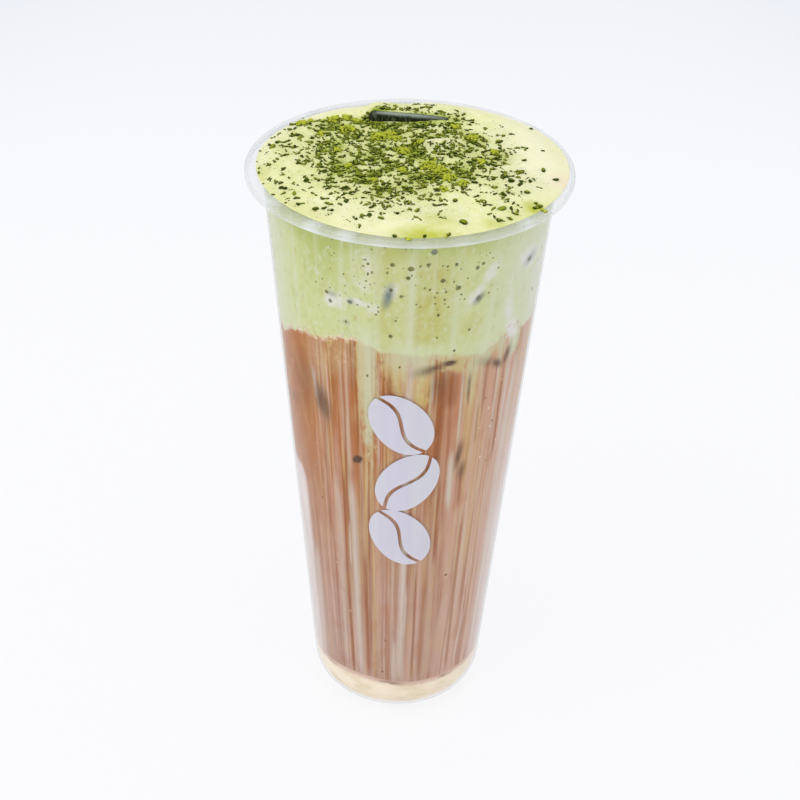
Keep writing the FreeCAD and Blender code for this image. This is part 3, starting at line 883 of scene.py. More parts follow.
def veil_share(azimuth, height, above):
    """Foam thinned to a veil: pale streaks, both sides, under the boundary and at random behind."""
    angle = np.degrees(azimuth)
    random = smooth(ripples(51, 12, azimuth, height, 5, 36, 0.01), 0.8, 2.0)
    return gather([
        placed_streaks(VEIL_STREAKS, azimuth, height),
        0.75 * bump(above, -1.5, 9.0) * bump(angle, 4, 26),
        0.6 * smooth(angle, -50, -68) * smooth(angle, -130, -90),
        0.9 * smooth(angle, 22, 56) * smooth(angle, 130, 90),
        0.5 * bump(angle, -58, 14) * smooth(height, 150, 138),
        0.7 * random * smooth(np.abs(angle), 66, 84),
    ])


def layer_fields(azimuth, height):
    """Everything that colours the wall's inside, from 0 to 1, at each place."""
    angle = np.degrees(azimuth)
    matcha, above = matcha_share(azimuth, height)
    front = smooth(angle, -22, -12) * smooth(angle, 66, 54)
    sides = smooth(angle, -50, -40) + smooth(angle, -72, -92)
    return {
        "straight": straightened(azimuth, height),
        "rise": smooth(height, 20, 130),
        "busy": np.minimum(1.0, 0.10 + sides + 0.5 * smooth(height, 96, 60)),
        "right": smooth(angle, 6, 40) * smooth(angle, 150, 90),
        **{kind: streaks(kind, azimuth, height) for kind in STREAKS},
        "matcha": matcha,
        "lace": bump(above, -0.3, 1.1) * (0.25 * (1 - front) + 0.6 * bump(angle, -34, 18)),
        "dapple": bump(above, -7.0, 9.0) * bump(angle, -34, 20),
        # greener foam at the front left, and a painted shade just under the rim
        "green": 0.8 * bump(angle, -36, 20) * smooth(height, 150, 172) + 0.9 * smooth(height, 169, 176),
        "olive": gather([
            bump(angle, 9, 17) * smooth(height, 141, 148) * smooth(height, 175, 166),
            0.6 * bump(angle, -8, 8),
            0.6 * blot(azimuth, height, 27, 149, 3.0, 2.4, 0, 0.9),
        ]),
        "veil": veil_share(azimuth, height, above),
        "air": blots(AIR, azimuth, height),
        # painted shadows of the sunken ice
        "ice": blots(SHADOWS, azimuth, height),
        # where those painted shadows take the slate colour, in the foam
        "hollow": smooth(height, 144, 149),
        "film": film_share(azimuth, height),
    }


def coffee_colour(paint, straight):
    """Milky coffee: orange-brown above, paler below, with upright streaks of several widths and hues."""
    drink = settings("drink")
    busy, rise = paint.attribute("busy"), paint.attribute("rise")
    warm = 1.0 - rise * 0.45
    broad = paint.noise(straight, 6.0, (1, 1, 26), 2.0, 0.5)
    middling = paint.noise(straight, 1.9, (1, 1, 30), 3.0, 0.5)
    narrow = paint.noise(straight, 1.2, (1, 1, 64), 1.0, 0.5)
    fine = paint.noise(straight, 0.55, (1, 1, 110), 1.0, 0.5)
    blotchy = paint.noise(straight, 4.0, (1, 1, 2.2), 3.0, 0.55)
    tint = paint.mix(rise, drink.low, drink.coffee)
    layers = (
        (paint.attribute("right") * 0.6, drink.pale),
        (paint.step(broad, 0.45, 0.62) * busy * warm * 0.5, drink.blush),
        (paint.step(middling, 0.47, 0.36) * busy * 0.48, drink.dark),
        (paint.step(narrow, 0.54, 0.64) * busy * (rise * 0.6 + 0.15), drink.tan),
        (paint.step(middling, 0.54, 0.62) * busy * warm * 0.6, drink.blush),
        (paint.attribute("tan") * 0.85, drink.tan),
        (paint.attribute("blush") * 0.8, drink.blush),
        (paint.attribute("dark") * 0.7, drink.dark),
        ((paint.attribute("cream") * (0.4 + middling * 0.9)).least(1.0), drink.cream),
        (paint.step(fine, 0.56, 0.70) * busy * 0.20, drink.cream),
        (paint.step(fine, 0.42, 0.30) * busy * 0.20, drink.dark),
        (paint.step(blotchy, 0.50, 0.66) * 0.22, drink.tan),
        (paint.step(blotchy, 0.48, 0.32) * 0.20, drink.coffee),
    )
    return paint.over(tint, layers)


def foam_colour(paint, straight, mottled):
    """Foam at the wall: pale green, mottled, greener and more olive in places, with paler veils."""
    foam = settings("foam")
    blotchy = paint.noise(straight, 1.5, (1, 1, 1.4), 4.0, 0.6)
    upright = paint.noise(straight, 1.8, (1, 1, 34), 2.0, 0.5)
    layers = (
        ((paint.attribute("green") * (0.2 + mottled * 1.6)).least(1.0), foam.green),
        (paint.step(mottled, 0.48, 0.36) * 0.4, foam.green),
        ((paint.attribute("olive") * paint.step(mottled, 0.3, 0.6)).least(1.0), foam.olive),
        (paint.step(blotchy, 0.52, 0.70) * 0.55, foam.veil),
        (paint.step(blotchy, 0.44, 0.30) * 0.4, foam.olive),
        (paint.step(upright, 0.52, 0.74) * 0.4, foam.veil),
        (paint.attribute("veil") * (0.5 + mottled * 0.6), foam.veil),
    )
    return paint.over(foam.side, layers)


def wall_colour(paint):
    """The colour of coffee and foam at the wall, which both layers share so that no seam shows."""
    drink, foam = settings("drink"), settings("foam")
    straight = paint.attribute("straight", True)
    mottled = paint.noise(straight, 2.6, (1, 1, 1.6), 5.0, 0.62)
    wispy = paint.noise(straight, 0.9, (1, 1, 5), 3.0, 0.6)
    curdled = paint.noise(straight, 1.7, (1, 1, 1.3), 4.0, 0.65, 0.6)
    threads = paint.noise(straight, 0.8, (1, 1, 45), 2.0, 0.5)
    specks = paint.noise(straight, 0.7, (1, 1, 1.2), 2.0, 0.6)
    cloudy = paint.noise(straight, 9.0, (1, 1, 2.0), 3.0, 0.5)
    matcha = paint.attribute("matcha") + (mottled - 0.5) * 0.35 + (wispy - 0.5) * 0.6
    drawn = paint.attribute("busy") * (paint.attribute("rise") * 0.7 + 0.3)
    dapple = paint.attribute("dapple")
    swirled = paint.mix(paint.step(curdled, 0.4, 0.6), drink.tan, drink.swirl)
    swirled = paint.mix(paint.attribute("veil"), swirled, drink.wisp)
    shade = paint.mix(paint.attribute("hollow"), drink.ice, foam.slate)
    layers = (
        (paint.step(matcha + (curdled - 0.5) * 0.4, 0.16, 0.5), swirled),
        (paint.attribute("dark") * 0.55, drink.dark),
        (paint.attribute("cream") * 0.6, drink.cream),
        (paint.step(threads, 0.52, 0.66) * drawn * 0.32, drink.wisp),
        (paint.step(threads, 0.44, 0.32) * drawn * 0.25, drink.dark),
        (paint.step(matcha, 0.60, 1.0), foam_colour(paint, straight, mottled)),
        (paint.step(paint.attribute("air") + (curdled - 0.5) * 1.3, 0.15, 1.2) * 0.9, foam.air),
        # painted shadow of the sunken ice
        ((paint.attribute("ice") * (0.5 + mottled)).least(1.0), shade),
        (dapple * (0.2 + curdled * 0.6), drink.tan),
        (dapple * paint.step(specks, 0.56, 0.68) * 0.28, drink.froth),
        ((paint.attribute("lace") * paint.step(curdled, 0.35, 0.6)).least(1.0), drink.froth),
        ((paint.attribute("film") * (0.5 + cloudy)).least(1.0), drink.film),
    )
    return paint.over(coffee_colour(paint, straight), layers)


# ---------------------------------------------------------------- coffee

def coffee_material():
    """Milky coffee with cream drawn through it in upright streaks, matcha plumes and sunken ice."""
    paint = Paint("milky coffee")
    return paint.finish(paint.principled(
        Base_Color=wall_colour(paint), Roughness=0.4, IOR=1.36, Specular_IOR_Level=0.05,
    ))


def make_coffee():
    """Milky coffee between the two wavy levels, reaching just into the wall."""
    wall = Wall()
    reach = settings("drink").reach / MM
    turn = full_turn(880)
    low, high = milk_level(wall, turn), foam_level(wall, turn)
    height = low + (high - low) * (np.linspace(0, 1, 104)[:, None] ** 0.8)
    radius = wall.inside(height) + reach
    parts = np.array([0.0, 0.5])[:, None]
    base = about_axis(parts * radius[0], turn, milk_level(wall, turn, parts))
    lid = about_axis(parts[::-1] * radius[-1], turn, foam_level(wall, turn, parts[::-1]))
    grid = np.concatenate([base, about_axis(radius, turn, height), lid])
    azimuth = np.broadcast_to(turn, grid.shape[:2])
    verts, faces = shell(grid)
    values = {key: shell_values(value) for key, value in layer_fields(azimuth, grid[..., 2]).items()}
    new_piece("coffee_layer", verts, faces, coffee_material(), ["coffee"], values)


# ---------------------------------------------------------------- foam

# how far the ice leans down to the right, and how far its middle line stands below its highest point
ICE_LEAN = math.radians(4.2)
ICE_DROP = 0.77
ICE_HALF_WIDTH = 12.5
ICE_MIDDLE = (ICE_LOW[1] + ICE_HIGH[1]) / 2
# the small hollow in the foam's top
HOLLOW_X, HOLLOW_Y = 8.0, 6.0


def ice_top(x):
    """The ice's top above the rim at a place left to right, which falls with its tilt."""
    return ICE_HIGH[2] - HEIGHT - ICE_DROP - x * math.tan(ICE_LEAN)


def foam_edge(azimuth):
    """Radius of the foam's edge on the rim: a circle moved aside, wavy, and drawn in at the back."""
    foam = settings("foam")
    turn = azimuth - np.pi / 2
    wander = foam.wander / MM * (np.sin(3 * turn) + np.cos(4 * turn)) / 2
    ebb = foam.ebb / MM * np.maximum(0.0, np.cos(turn - math.radians(104))) ** 4
    short = 1.9 * bump(np.degrees(turn) % 360, 101, 21)
    return RIM_RADIUS - foam.margin / MM + foam.shift / MM * np.cos(turn) + wander - ebb - short


def foam_round_ice(x, y, plain):
    """How far the foam rises above its plain top at the ice, and how much the ice disturbs it.

    Behind the ice it stands in a bank as high as the ice. In front of the ice's right half
    it climbs nearly to the ice's top.
    """
    side, front, back = ICE_HALF_WIDTH, ICE_LOW[1], ICE_HIGH[1]
    starts = front + 0.4 + 1.5 * smooth(np.abs(x), 8.0, 12.0)
    ends = back + 4.0 + 3.0 * smooth(x, -6, 8)
    along = smooth(x, -side - 3, -side + 3) * smooth(x, side + 5, side)
    across = smooth(y, starts, starts + 1.2) * smooth(y, ends, back - 0.5)
    bank = np.maximum(0.0, ice_top(x) + 0.04 - plain) * along * across
    climbing = smooth(x, 0, 11) * smooth(x, side + 5, side) * smooth(y, front - 3.0, front - 0.4)
    before = np.maximum(0.0, ice_top(x) - 0.95 - plain) * climbing * smooth(y, back, front + 1)
    return np.maximum(bank, before), along * across


def foam_lumps(x, y):
    """Small lumps: two products of sines whose phases wander."""
    coarse = np.sin(0.9 * x + 1.7 * np.sin(0.5 * y)) * np.sin(0.8 * y + 1.3 * np.sin(0.6 * x + 1))
    small = 0.06 * np.sin(1.9 * x + 2.0 * np.sin(0.9 * y + 2)) * np.sin(2.1 * y + 1.1 * np.sin(1.3 * x))
    return 0.09 * coarse + small


def foam_surface(x, y):
    """The foam's top: a low dome with soft swells, small lumps, a hollow and a bank on the ice."""
    foam = settings("foam")
    radius = np.hypot(x, y)
    spread = RIM_RADIUS - foam.margin / MM
    wave = TAU / 38.0
    dome = foam.rise / MM * np.maximum(0.0, 1 - (radius / spread) ** 2)
    swell = foam.swell / MM * (np.sin(wave * x) * np.cos(wave * y) + np.sin(wave * (x + 2 * y)) / 2)
    within = foam_edge(np.arctan2(x, -y)) - radius
    thin = 0.24 + 0.76 * smooth(within, 0.0, 5.5)
    dip = 0.95 * smooth(x, -ICE_HALF_WIDTH - 5, -ICE_HALF_WIDTH) * smooth(x, ICE_HALF_WIDTH, -6)
    plain = (foam.edge / MM + dome + swell) * thin - dip * bump(y, ICE_LOW[1] - 0.4, 4.0)
    bank, disturbed = foam_round_ice(x, y, plain)
    calm = smooth(within, 1.0, 8.0) * (1 - disturbed)
    from_hollow = np.hypot(x - HOLLOW_X, y - HOLLOW_Y)
    turn = np.degrees(np.arctan2(y - HOLLOW_Y, x - HOLLOW_X))
    crest = 0.8 * bump(from_hollow, 5.8, 2.0) * smooth(turn, -30, 20) * smooth(turn, 190, 140)
    hollow = -0.5 * smooth(from_hollow, 5.2, 2.0)
    return HEIGHT + plain + bank + (foam_lumps(x, y) + crest + hollow) * calm


# patches of matcha: middle x and y, where it starts, where it is full, height over width, fullness
THICK_PATCHES = (
    (-8, 24, 12, 5, 0.6, 0.85), (8, 25, 13, 6, 0.4, 0.66), (0, 4, 8, 3, 1.0, 0.85),
    (-21, 20, 10, 5, 0.9, 0.60), (-17, -11, 8, 3, 1.0, 0.60), (6, -11, 7, 3, 1.0, 0.58),
    (24, 3, 8, 3, 0.9, 0.42), (17, 13, 8, 3, 1.0, 0.46), (18, -6, 9, 3, 1.0, 0.40),
    (-9, 18, 9, 4, 1.0, 0.60), (1, 12, 7, 3, 1.0, 0.55), (-14, 7, 8, 3, 1.0, 0.5),
    (-10, -21, 10, 4, 0.6, 0.38),
)
FRINGE_PATCHES = (
    (-8, 2, 42, 34, 1.0, 0.09), (26, -12, 13, 5, 1.0, 0.16), (-4, -27, 13, 5, 0.7, 0.18),
    (-33, 9, 9, 3, 2.0, 0.2), (24, -28, 9, 3, 1.0, 0.12), (6, 35, 9, 3, 0.3, 0.2),
)
THIN_PATCHES = (
    (3, 20.5, 7, 2, 0.5, 0.5), (12, 4, 8, 3, 1.0, 0.3), (12, -20, 9, 3, 1.0, 0.5),
    (-23, 33, 9, 5, 1.0, 0.85), (18, 24, 6, 2, 1.0, 0.6), (-14, 34, 9, 5, 0.6, 0.75),
)


def patch(x, y, middle_x, middle_y, outer, inner, tall=1.0, fullness=1.0):
    """A soft round or oval patch: 0 beyond outer and full within inner."""
    return fullness * smooth(np.hypot(x - middle_x, (y - middle_y) / tall), outer, inner)


def patches(x, y, marks):
    """Several patches at once; where they overlap the strongest counts."""
    return gather(patch(x, y, *mark) for mark in marks)


def powder_density(x, y):
    """How thickly matcha lies on the foam, from 0 to 1: one round patch with thick and thin places."""
    main = 0.45 * patch(x, y, -3, 3, 33, 20)
    crest = 0.8 * bump(np.hypot(x - 9, y - 6.5), 5.8, 2.2) * smooth(y, 6, 9)
    thin = 1 - np.maximum(patches(x, y, THIN_PATCHES), crest)
    behind = 1 - smooth(y, 31.0, 35.0) * (1 - 0.25 * patch(x, y, 5, 35, 13, 8))
    uneven = np.sin(0.55 * x + 1.5 * np.sin(0.33 * y)) + np.sin(0.5 * y + 1.9 * np.sin(0.38 * x))
    laid = gather([main, 0.9 * patches(x, y, THICK_PATCHES), patches(x, y, FRINGE_PATCHES)])
    return laid * thin * behind * (0.86 + 0.3 * np.clip(uneven, -1, 1))


def foam_top_colour(paint, velvet, speckle, curds):
    """Pale cream, shaded and curdled, stained by the powder and yellow or warm in single places."""
    foam = settings("foam")
    dust = paint.attribute("dust")
    cloudy = paint.noise(paint.place(), 14.0, (1, 1, 1), 2.0, 0.5)
    layers = (
        (paint.step(velvet, 0.3, 0.7) * 0.6, CREAM_SHADE),
        (paint.step(cloudy, 0.42, 0.68) * 0.2, foam.side),
        (paint.step(curds, 0.50, 0.66) * 0.45, CREAM_CURD),
        (paint.step(curds, 0.46, 0.32) * 0.5, CREAM_LIGHT),
        (paint.attribute("pale") * 0.7, CREAM_BARE),
        ((dust * (0.6 + speckle * 1.5)).least(1.0), foam.moss),
        (paint.step(dust * speckle, 0.20, 0.34) * 0.85, MATCHA_STAIN),
        ((paint.attribute("yellow") * (0.7 + curds * 0.7)).least(1.0), MATCHA_YELLOW),
        (paint.attribute("warm"), CREAM_WARM),
    )
    return paint.over(foam.top, layers)


def foam_material():
    """Whipped matcha cream: pale and velvety on top, and the wall's colours at its side."""
    paint = Paint("matcha cream foam")
    place = paint.place()
    velvet = paint.noise(place, 5.0, (1, 1, 1), 4.0, 0.55)
    speckle = paint.noise(place, 0.9, (1, 1, 1), 3.0, 0.6)
    curds = paint.noise(place, 2.4, (1, 1, 1), 4.0, 0.6, 0.6)
    top = foam_top_colour(paint, velvet, speckle, curds)
    tint = paint.mix(paint.attribute("above"), wall_colour(paint), top)
    height = velvet * 0.6 + speckle * 0.25 + curds * (0.35 + paint.attribute("dust") * 0.5)
    return paint.finish(paint.principled(
        Base_Color=tint, Roughness=paint.step(velvet, 0.3, 0.7, 0.42, 0.6), IOR=1.36,
        Specular_IOR_Level=0.2, Normal=paint.bump(height, 0.45, 0.7),
    ))


def foam_top_fields(x, y, azimuth, within):
    """What colours the foam's top besides the powder, at each place and distance in from its edge."""
    front_left = bump(np.degrees(azimuth), -28, 50)
    blotches = np.sin(1.1 * x + 1.3 * np.sin(0.9 * y)) * np.sin(1.3 * y + 1.1 * np.sin(0.8 * x))
    hem = (0.14 + 0.26 * front_left) * smooth(within, 6.0, 0.0) * (0.6 + 0.4 * np.sin(7 * azimuth + 1.0))
    yellow = gather([
        smooth(np.hypot((x - 4.0) / 2.0, y + 41.8), 6.5, 0.5),
        0.6 * smooth(np.hypot((x - 7.5) / 1.3, y + 35.5), 6.0, 1.0),
        patch(x, y, 32.5, -25.5, 5.0, 1.0, 1.0, 0.9), patch(x, y, 22, -35, 5.0, 1.0, 0.8, 0.5),
        patch(x, y, -40, -9, 4.0, 1.0, 2.0, 0.5), hem,
    ])
    return {
        "yellow": np.clip(yellow * (0.86 + 0.14 * blotches), 0, 1),
        "pale": gather([
            smooth(x, 16, 36) * smooth(y, -30, -10), smooth(within, 5.0, 0.5) * smooth(y, -20, 0),
            patch(x, y, 9, 10, 7.0, 3.0, 1.0, 0.8), 0.5 * smooth(y, -22, -30) * smooth(x, 20, 5),
        ]),
        "warm": patch(x, y, 42, -9, 8.0, 1.0, 1.0, 0.5),
    }


def make_foam():
    """The foam: from its wavy underside up the wall, out over the rim and back across its top.

    Its edge on the rim is a quarter round between the rim and the foam's top.
    """
    wall = Wall()
    reach = settings("drink").reach / MM
    turn = full_turn(432)
    rounding, sunk, collar = 0.5, HEIGHT - 0.04, HEIGHT - 0.95
    level = foam_level(wall, turn)
    parts = np.array([0.0, 0.5, 0.9])[:, None]
    bottom = about_axis(parts * (wall.inside(level) + reach), turn, foam_level(wall, turn, parts))
    height = level + (collar - level) * np.linspace(0, 1, 90)[:, None]
    side = about_axis(wall.inside(height) + reach, turn, height)
    inner_edge = foam_edge(turn) - rounding
    top_at_edge = foam_surface(inner_edge * np.sin(turn), -inner_edge * np.cos(turn))
    lip = about_axis(np.stack([np.full(len(turn), wall.mouth + 1.2), inner_edge]), turn, sunk)
    swing = np.radians(np.linspace(0, 90, 8)[:-1])[:, None]
    curl_height = sunk + (top_at_edge - sunk) * np.sin(swing)
    curl = about_axis(inner_edge + rounding * np.cos(swing), turn, curl_height)
    radius = np.linspace(1, 0, 112)[:, None] ** 0.92 * inner_edge
    top = about_axis(radius, turn, foam_surface(radius * np.sin(turn), -radius * np.cos(turn)))
    grid = np.concatenate([bottom, side, lip, curl, top])
    x, y, z = grid[..., 0], grid[..., 1], grid[..., 2]
    azimuth = np.broadcast_to(turn, x.shape)
    rows = np.arange(len(grid))[:, None]
    rim_row = len(bottom) + len(side)
    above = np.broadcast_to(np.select([rows < rim_row, rows == rim_row], [0.0, 0.5], 1.0), x.shape)
    fields = {
        **layer_fields(azimuth, z),
        "above": above,
        "dust": powder_density(x, y) * above,
        **foam_top_fields(x, y, azimuth, inner_edge - np.hypot(x, y)),
    }
    verts, faces = shell(grid)
    values = {key: shell_values(value) for key, value in fields.items()}
    new_piece("foam_layer", verts, faces, foam_material(), ["matcha_foam"], values)


# ---------------------------------------------------------------- bubbles at the wall

# azimuth, height and radius of single bubbles at the front: dark ones in the foam
DARK_BUBBLES = (
    (1.5, 169.0, 0.95), (8.0, 170.2, 0.65), (5.0, 169.8, 0.45), (19.0, 169.6, 0.62), (0.5, 166.2, 0.75),
    (14.0, 165.0, 0.85), (20.5, 162.2, 0.95), (28.0, 167.4, 0.75), (30.5, 168.3, 0.6),
    (-5.5, 170.0, 0.75), (-7.5, 167.4, 0.5), (-6.0, 162.2, 0.7), (-2.0, 160.4, 0.6),
    (18.5, 164.3, 0.42), (13.5, 169.6, 0.36), (15.5, 169.3, 0.42), (7.0, 163.0, 0.42),
    (9.0, 162.5, 0.46), (12.0, 161.4, 0.4), (15.5, 161.4, 0.5), (15.2, 159.0, 0.5), (11.5, 158.0, 0.36),
    (13.0, 154.3, 0.6), (-6.0, 147.5, 0.72), (-4.0, 152.6, 0.4), (21.0, 142.0, 0.5),
    (-2.0, 137.5, 0.45), (-16.0, 133.5, 0.5), (13.0, 147.0, 0.4), (-33.5, 157.5, 0.75),
    (-15.0, 169.5, 0.5), (-16.0, 170.6, 0.4), (-13.5, 167.0, 0.5), (-15.0, 166.5, 0.42),
    (-13.5, 174.0, 0.32), (-12.0, 154.0, 0.42), (-11.0, 155.0, 0.42), (22.0, 160.0, 0.42),
    (-16.5, 162.0, 0.36), (27.0, 148.0, 0.5), (38.0, 165.5, 0.4), (-25.0, 149.8, 0.5),
    (4.0, 158.0, 0.35), (17.0, 156.5, 0.35),
)
# bluish ones over the ice behind the foam
TEAL_BUBBLES = (
    (10.0, 174.0, 1.15), (30.0, 157.5, 1.1), (58.0, 163.0, 1.1), (-32.0, 155.0, 0.8),
    (-23.0, 156.5, 0.85),
)
# dark ones in the coffee, with a pale ring that is a painted highlight
RINGED_BUBBLES = (
    (-7.0, 33.0, 0.7), (-9.0, 19.0, 0.6), (28.0, 58.5, 0.7), (-45.5, 83.0, 0.6), (-49.0, 94.6, 0.5),
    (40.0, 122.2, 0.5), (47.0, 112.5, 0.5), (47.0, 98.0, 0.45), (-47.0, 105.0, 0.45),
    (-60.0, 96.0, 0.5), (-56.0, 74.0, 0.45),
)
# pale flecks on the coffee
PALE_FLECKS = (
    (43, 118, 0.5), (45.5, 111, 0.4), (47, 121, 0.35), (41.5, 101, 0.4), (44, 96.5, 0.3),
    (50, 126, 0.4), (38.5, 112, 0.3), (-49, 94, 0.35), (-46, 103, 0.3), (-58, 118, 0.35),
    (-43, 88, 0.3), (-52, 80, 0.3), (52, 104, 0.35), (48, 90, 0.3), (-62, 126, 0.4), (-60, 109, 0.3),
    (36, 84, 0.3), (-38, 60, 0.3), (41, 70, 0.3), (-30, 42, 0.3),
)


def bubble_material():
    """Film of a bubble against the wall: the kind's colour inside, a pale skin round it."""
    drink, foam = settings("drink"), settings("foam")
    paint = Paint("wall bubbles")
    core, kind = paint.attribute("core"), paint.attribute("kind")
    uneven = paint.noise(paint.place(), 1.5, (1, 1, 1), 2.0)
    dirty = paint.step(uneven, 0.42, 0.7) * paint.step(kind, 1.6, 1.5) * 0.4
    inside = paint.over(foam.bubble, (
        (paint.step(kind, 0.5, 0.6), foam.slate), (paint.step(kind, 1.5, 1.6), drink.dark),
        (paint.step(kind, 2.5, 2.6), drink.froth), (dirty, foam.olive),
    ))
    # the ring round each bubble: olive on the dark kinds, a pale painted highlight on the others
    skin_and_highlight = paint.mix(paint.step(kind, 1.5, 1.6), foam.olive, drink.froth)
    tint = paint.mix(paint.step(core, 0.5, 0.95), inside, skin_and_highlight)
    solid = paint.principled(Base_Color=tint, Roughness=0.3, IOR=1.33, Specular_IOR_Level=0.3)
    return paint.finish(paint.see_through(paint.step(core, 1.0, 0.6) * paint.attribute("strong"), solid))


def random_bubbles(rng, count, between, spread, heights, sizes):
    """Rows of azimuth, height and radius: level in azimuth, bell-shaped in height, mostly small."""
    azimuth = rng.uniform(*between, count)
    height = rng.normal(*heights, count).clip(*spread)
    size = rng.uniform(0, 1, count) ** 2 * (sizes[1] - sizes[0]) + sizes[0]
    return np.stack([azimuth, height, size], 1)


def froth_bubbles(rng):
    """Froth along the foam's edge on the coffee, denser at the left and round the back."""
    stretches = (
        (80, (-74, -45), -0.3), (22, (-45, -20), 0.0), (36, (38, 62), 0.2), (170, (72, 286), 0.0),
    )
    froth = np.concatenate([
        random_bubbles(rng, count, between, (-3, 3), (middle, 0.6), (0.2, 0.5))
        for count, between, middle in stretches
    ])
    froth[:, 1] += boundary((froth[:, 0] + 180) % 360 - 180)
    return froth


def make_bubbles():
    """Bubbles where the drink meets the wall: round caps, four rings each, that bulge into the wall."""
    wall = Wall()
    rng = np.random.default_rng(12)
    behind = random_bubbles(rng, 120, (66, 294), (144, 176), (164, 8), (0.3, 0.95))
    fine = random_bubbles(rng, 70, (-40, 40), (146, 175), (165, 7), (0.2, 0.36))
    froth = froth_bubbles(rng)
    low = random_bubbles(rng, 26, (70, 290), (20, 130), (80, 35), (0.3, 0.6))
    dark_kind, teal_kind, ringed_kind, pale_kind = range(4)
    kinds = (
        (dark_kind, DARK_BUBBLES), (dark_kind, behind), (dark_kind, fine), (teal_kind, TEAL_BUBBLES),
        (ringed_kind, RINGED_BUBBLES), (ringed_kind, low), (pale_kind, froth), (pale_kind, PALE_FLECKS),
    )
    kind = np.concatenate([np.full(len(marks), value) for value, marks in kinds])
    azimuth, height, size = np.concatenate([marks for _, marks in kinds]).T
    spokes = np.linspace(0, TAU, 18, endpoint=False)
    rings = np.array([0.0, 0.45, 0.75, 1.0])[:, None]
    squeeze = rng.uniform(0.82, 1.12, len(size))
    along = rings * np.cos(spokes) * (size * squeeze)[:, None, None]
    up = rings * np.sin(spokes) * (size / squeeze)[:, None, None] + height[:, None, None]
    bulge = 0.015 + 0.12 * (1 - rings**2)
    radius = wall.inside(up) + settings("drink").reach / MM + bulge
    points = about_axis(radius, np.radians(azimuth)[:, None, None] + along / radius, up)
    cap = rings.size * spokes.size
    faces = np.concatenate([
        grid_faces(rings.size, spokes.size, first)[:, ::-1] for first in range(0, cap * len(size), cap)
    ])
    strong = rng.uniform(0.55, 1.0, len(size))
    per_bubble = {"kind": kind[:, None, None], "strong": strong[:, None, None], "core": rings}
    values = {key: np.broadcast_to(value, up.shape).ravel() for key, value in per_bubble.items()}
    new_piece(
        "wall_bubbles", points.reshape(-1, 3), faces, bubble_material(), (), values, welded=True,
    )


# ---------------------------------------------------------------- ice

def ice_material():
    """Wet ice: dark where the drink shows through it, with clouded streaks and a white upper edge."""
    paint = Paint("wet ice")
    place = paint.place()
    cloudy = paint.noise(place, 4.0, (2.4, 1, 1), 4.0, 0.6)
    bristly = paint.noise(place, 0.7, (1, 1, 5), 3.0, 0.6)
    fine = paint.noise(place, 1.6, (1, 1, 1), 2.0)
    tint = paint.over(ICE_DARK, (
        (paint.step(cloudy, 0.45, 0.75), ICE_CLOUD),
        (paint.step(bristly, 0.5, 0.66) * 0.55, ICE_BRISTLE),
        ((paint.attribute("upper_highlight") * paint.step(cloudy, 0.3, 0.55)).least(1.0), ICE_HIGHLIGHT),
    ))
    return paint.finish(paint.principled(
        Base_Color=tint, Roughness=0.4, IOR=1.31,
        Specular_IOR_Level=0.15, Normal=paint.bump(fine, 0.2, 0.5),
    ))


def make_ice():
    """The ice: a block whose section is a high-power oval each way, so its edges are melted round.

    Each direction from the middle, scaled by the half sizes, is carried out to where the sum of
    the high powers of its shares of the half sizes is one; the block is then melted unevenly.
    """
    half = np.array([ICE_HALF_WIDTH, (ICE_HIGH[1] - ICE_LOW[1]) / 2, 11.0])
    power = 7.0
    across = full_turn(160)
    up = np.linspace(-np.pi / 2, np.pi / 2, 81)[:, None]
    way = np.stack([np.cos(up) * np.cos(across), np.cos(up) * np.sin(across), np.sin(up) + 0 * across], 2)
    scaled = way * half
    scaled = scaled / np.linalg.norm(scaled, axis=2, keepdims=True)
    reach = (np.abs(scaled / half) ** power).sum(axis=2, keepdims=True) ** (-1 / power)
    melt = 1 - 0.012 * (1 + np.sin(3 * across + 2 * up) * np.cos(up))
    hung = scaled * reach * melt[..., None] - [0, 0, half[2]]
    x = hung[..., 0] * math.cos(ICE_LEAN) + hung[..., 2] * math.sin(ICE_LEAN)
    z = hung[..., 2] * math.cos(ICE_LEAN) - hung[..., 0] * math.sin(ICE_LEAN)
    points = np.stack([x, hung[..., 1] + ICE_MIDDLE, z + HEIGHT + ice_top(0.0)], 2)
    below = HEIGHT + ice_top(x) - points[..., 2]
    front = smooth(points[..., 1], ICE_LOW[1] + 1.6, ICE_LOW[1] + 0.6)
    # a painted highlight along the ice's upper front edge, stronger to the left
    upper_highlight = bump(below, 0.25, 1.1) * (0.45 + 0.55 * smooth(x, 8, -4)) * front
    verts, faces = shell(points)
    new_piece("ice_piece", verts, faces, ice_material(), ["ice"], {"upper_highlight": shell_values(upper_highlight)})


# ---------------------------------------------------------------- powder

# x, y, radius of each clump of fresh powder
CLUMPS = (
    (-31, 23, 1.9), (-28.6, 24.4, 1.3), (-22, 25, 2.0), (-18.4, 26, 1.7), (-15.6, 24.6, 1.3),
    (-18, 18, 2.2), (-8.6, 12.4, 2.5), (-6.2, 14.6, 1.8), (-4.0, 12.6, 1.5), (5.4, -4.6, 2.2),
    (7.8, -7.4, 2.3), (10.4, -11.0, 1.9), (14, -14, 1.4), (9, -18, 1.2), (-2, 4, 1.7), (17, 14, 1.8),
    (-16.5, -6, 1.3), (-25, 15, 1.2), (2.4, 9.0, 1.2), (19.5, -1, 1.2), (-9.5, -14.5, 1.2),
    (12.5, 22, 1.3), (-20, 4, 1.1), (-2, -8, 1.2), (23, 6, 1.1),
)
# x, y of single large granules out on the bare foam
SINGLES = (
    (34, 24), (36.5, 8), (31, 2), (36, -4), (39, -9), (27, -12), (32, -12), (31, -18), (24, -28),
    (23, -33), (34, -24), (33, -23), (14, -36), (12, -24), (-34, -16), (-38, 6), (-36, -2), (-30, -22),
    (-24, -30), (-10, -33), (2, -31),
)
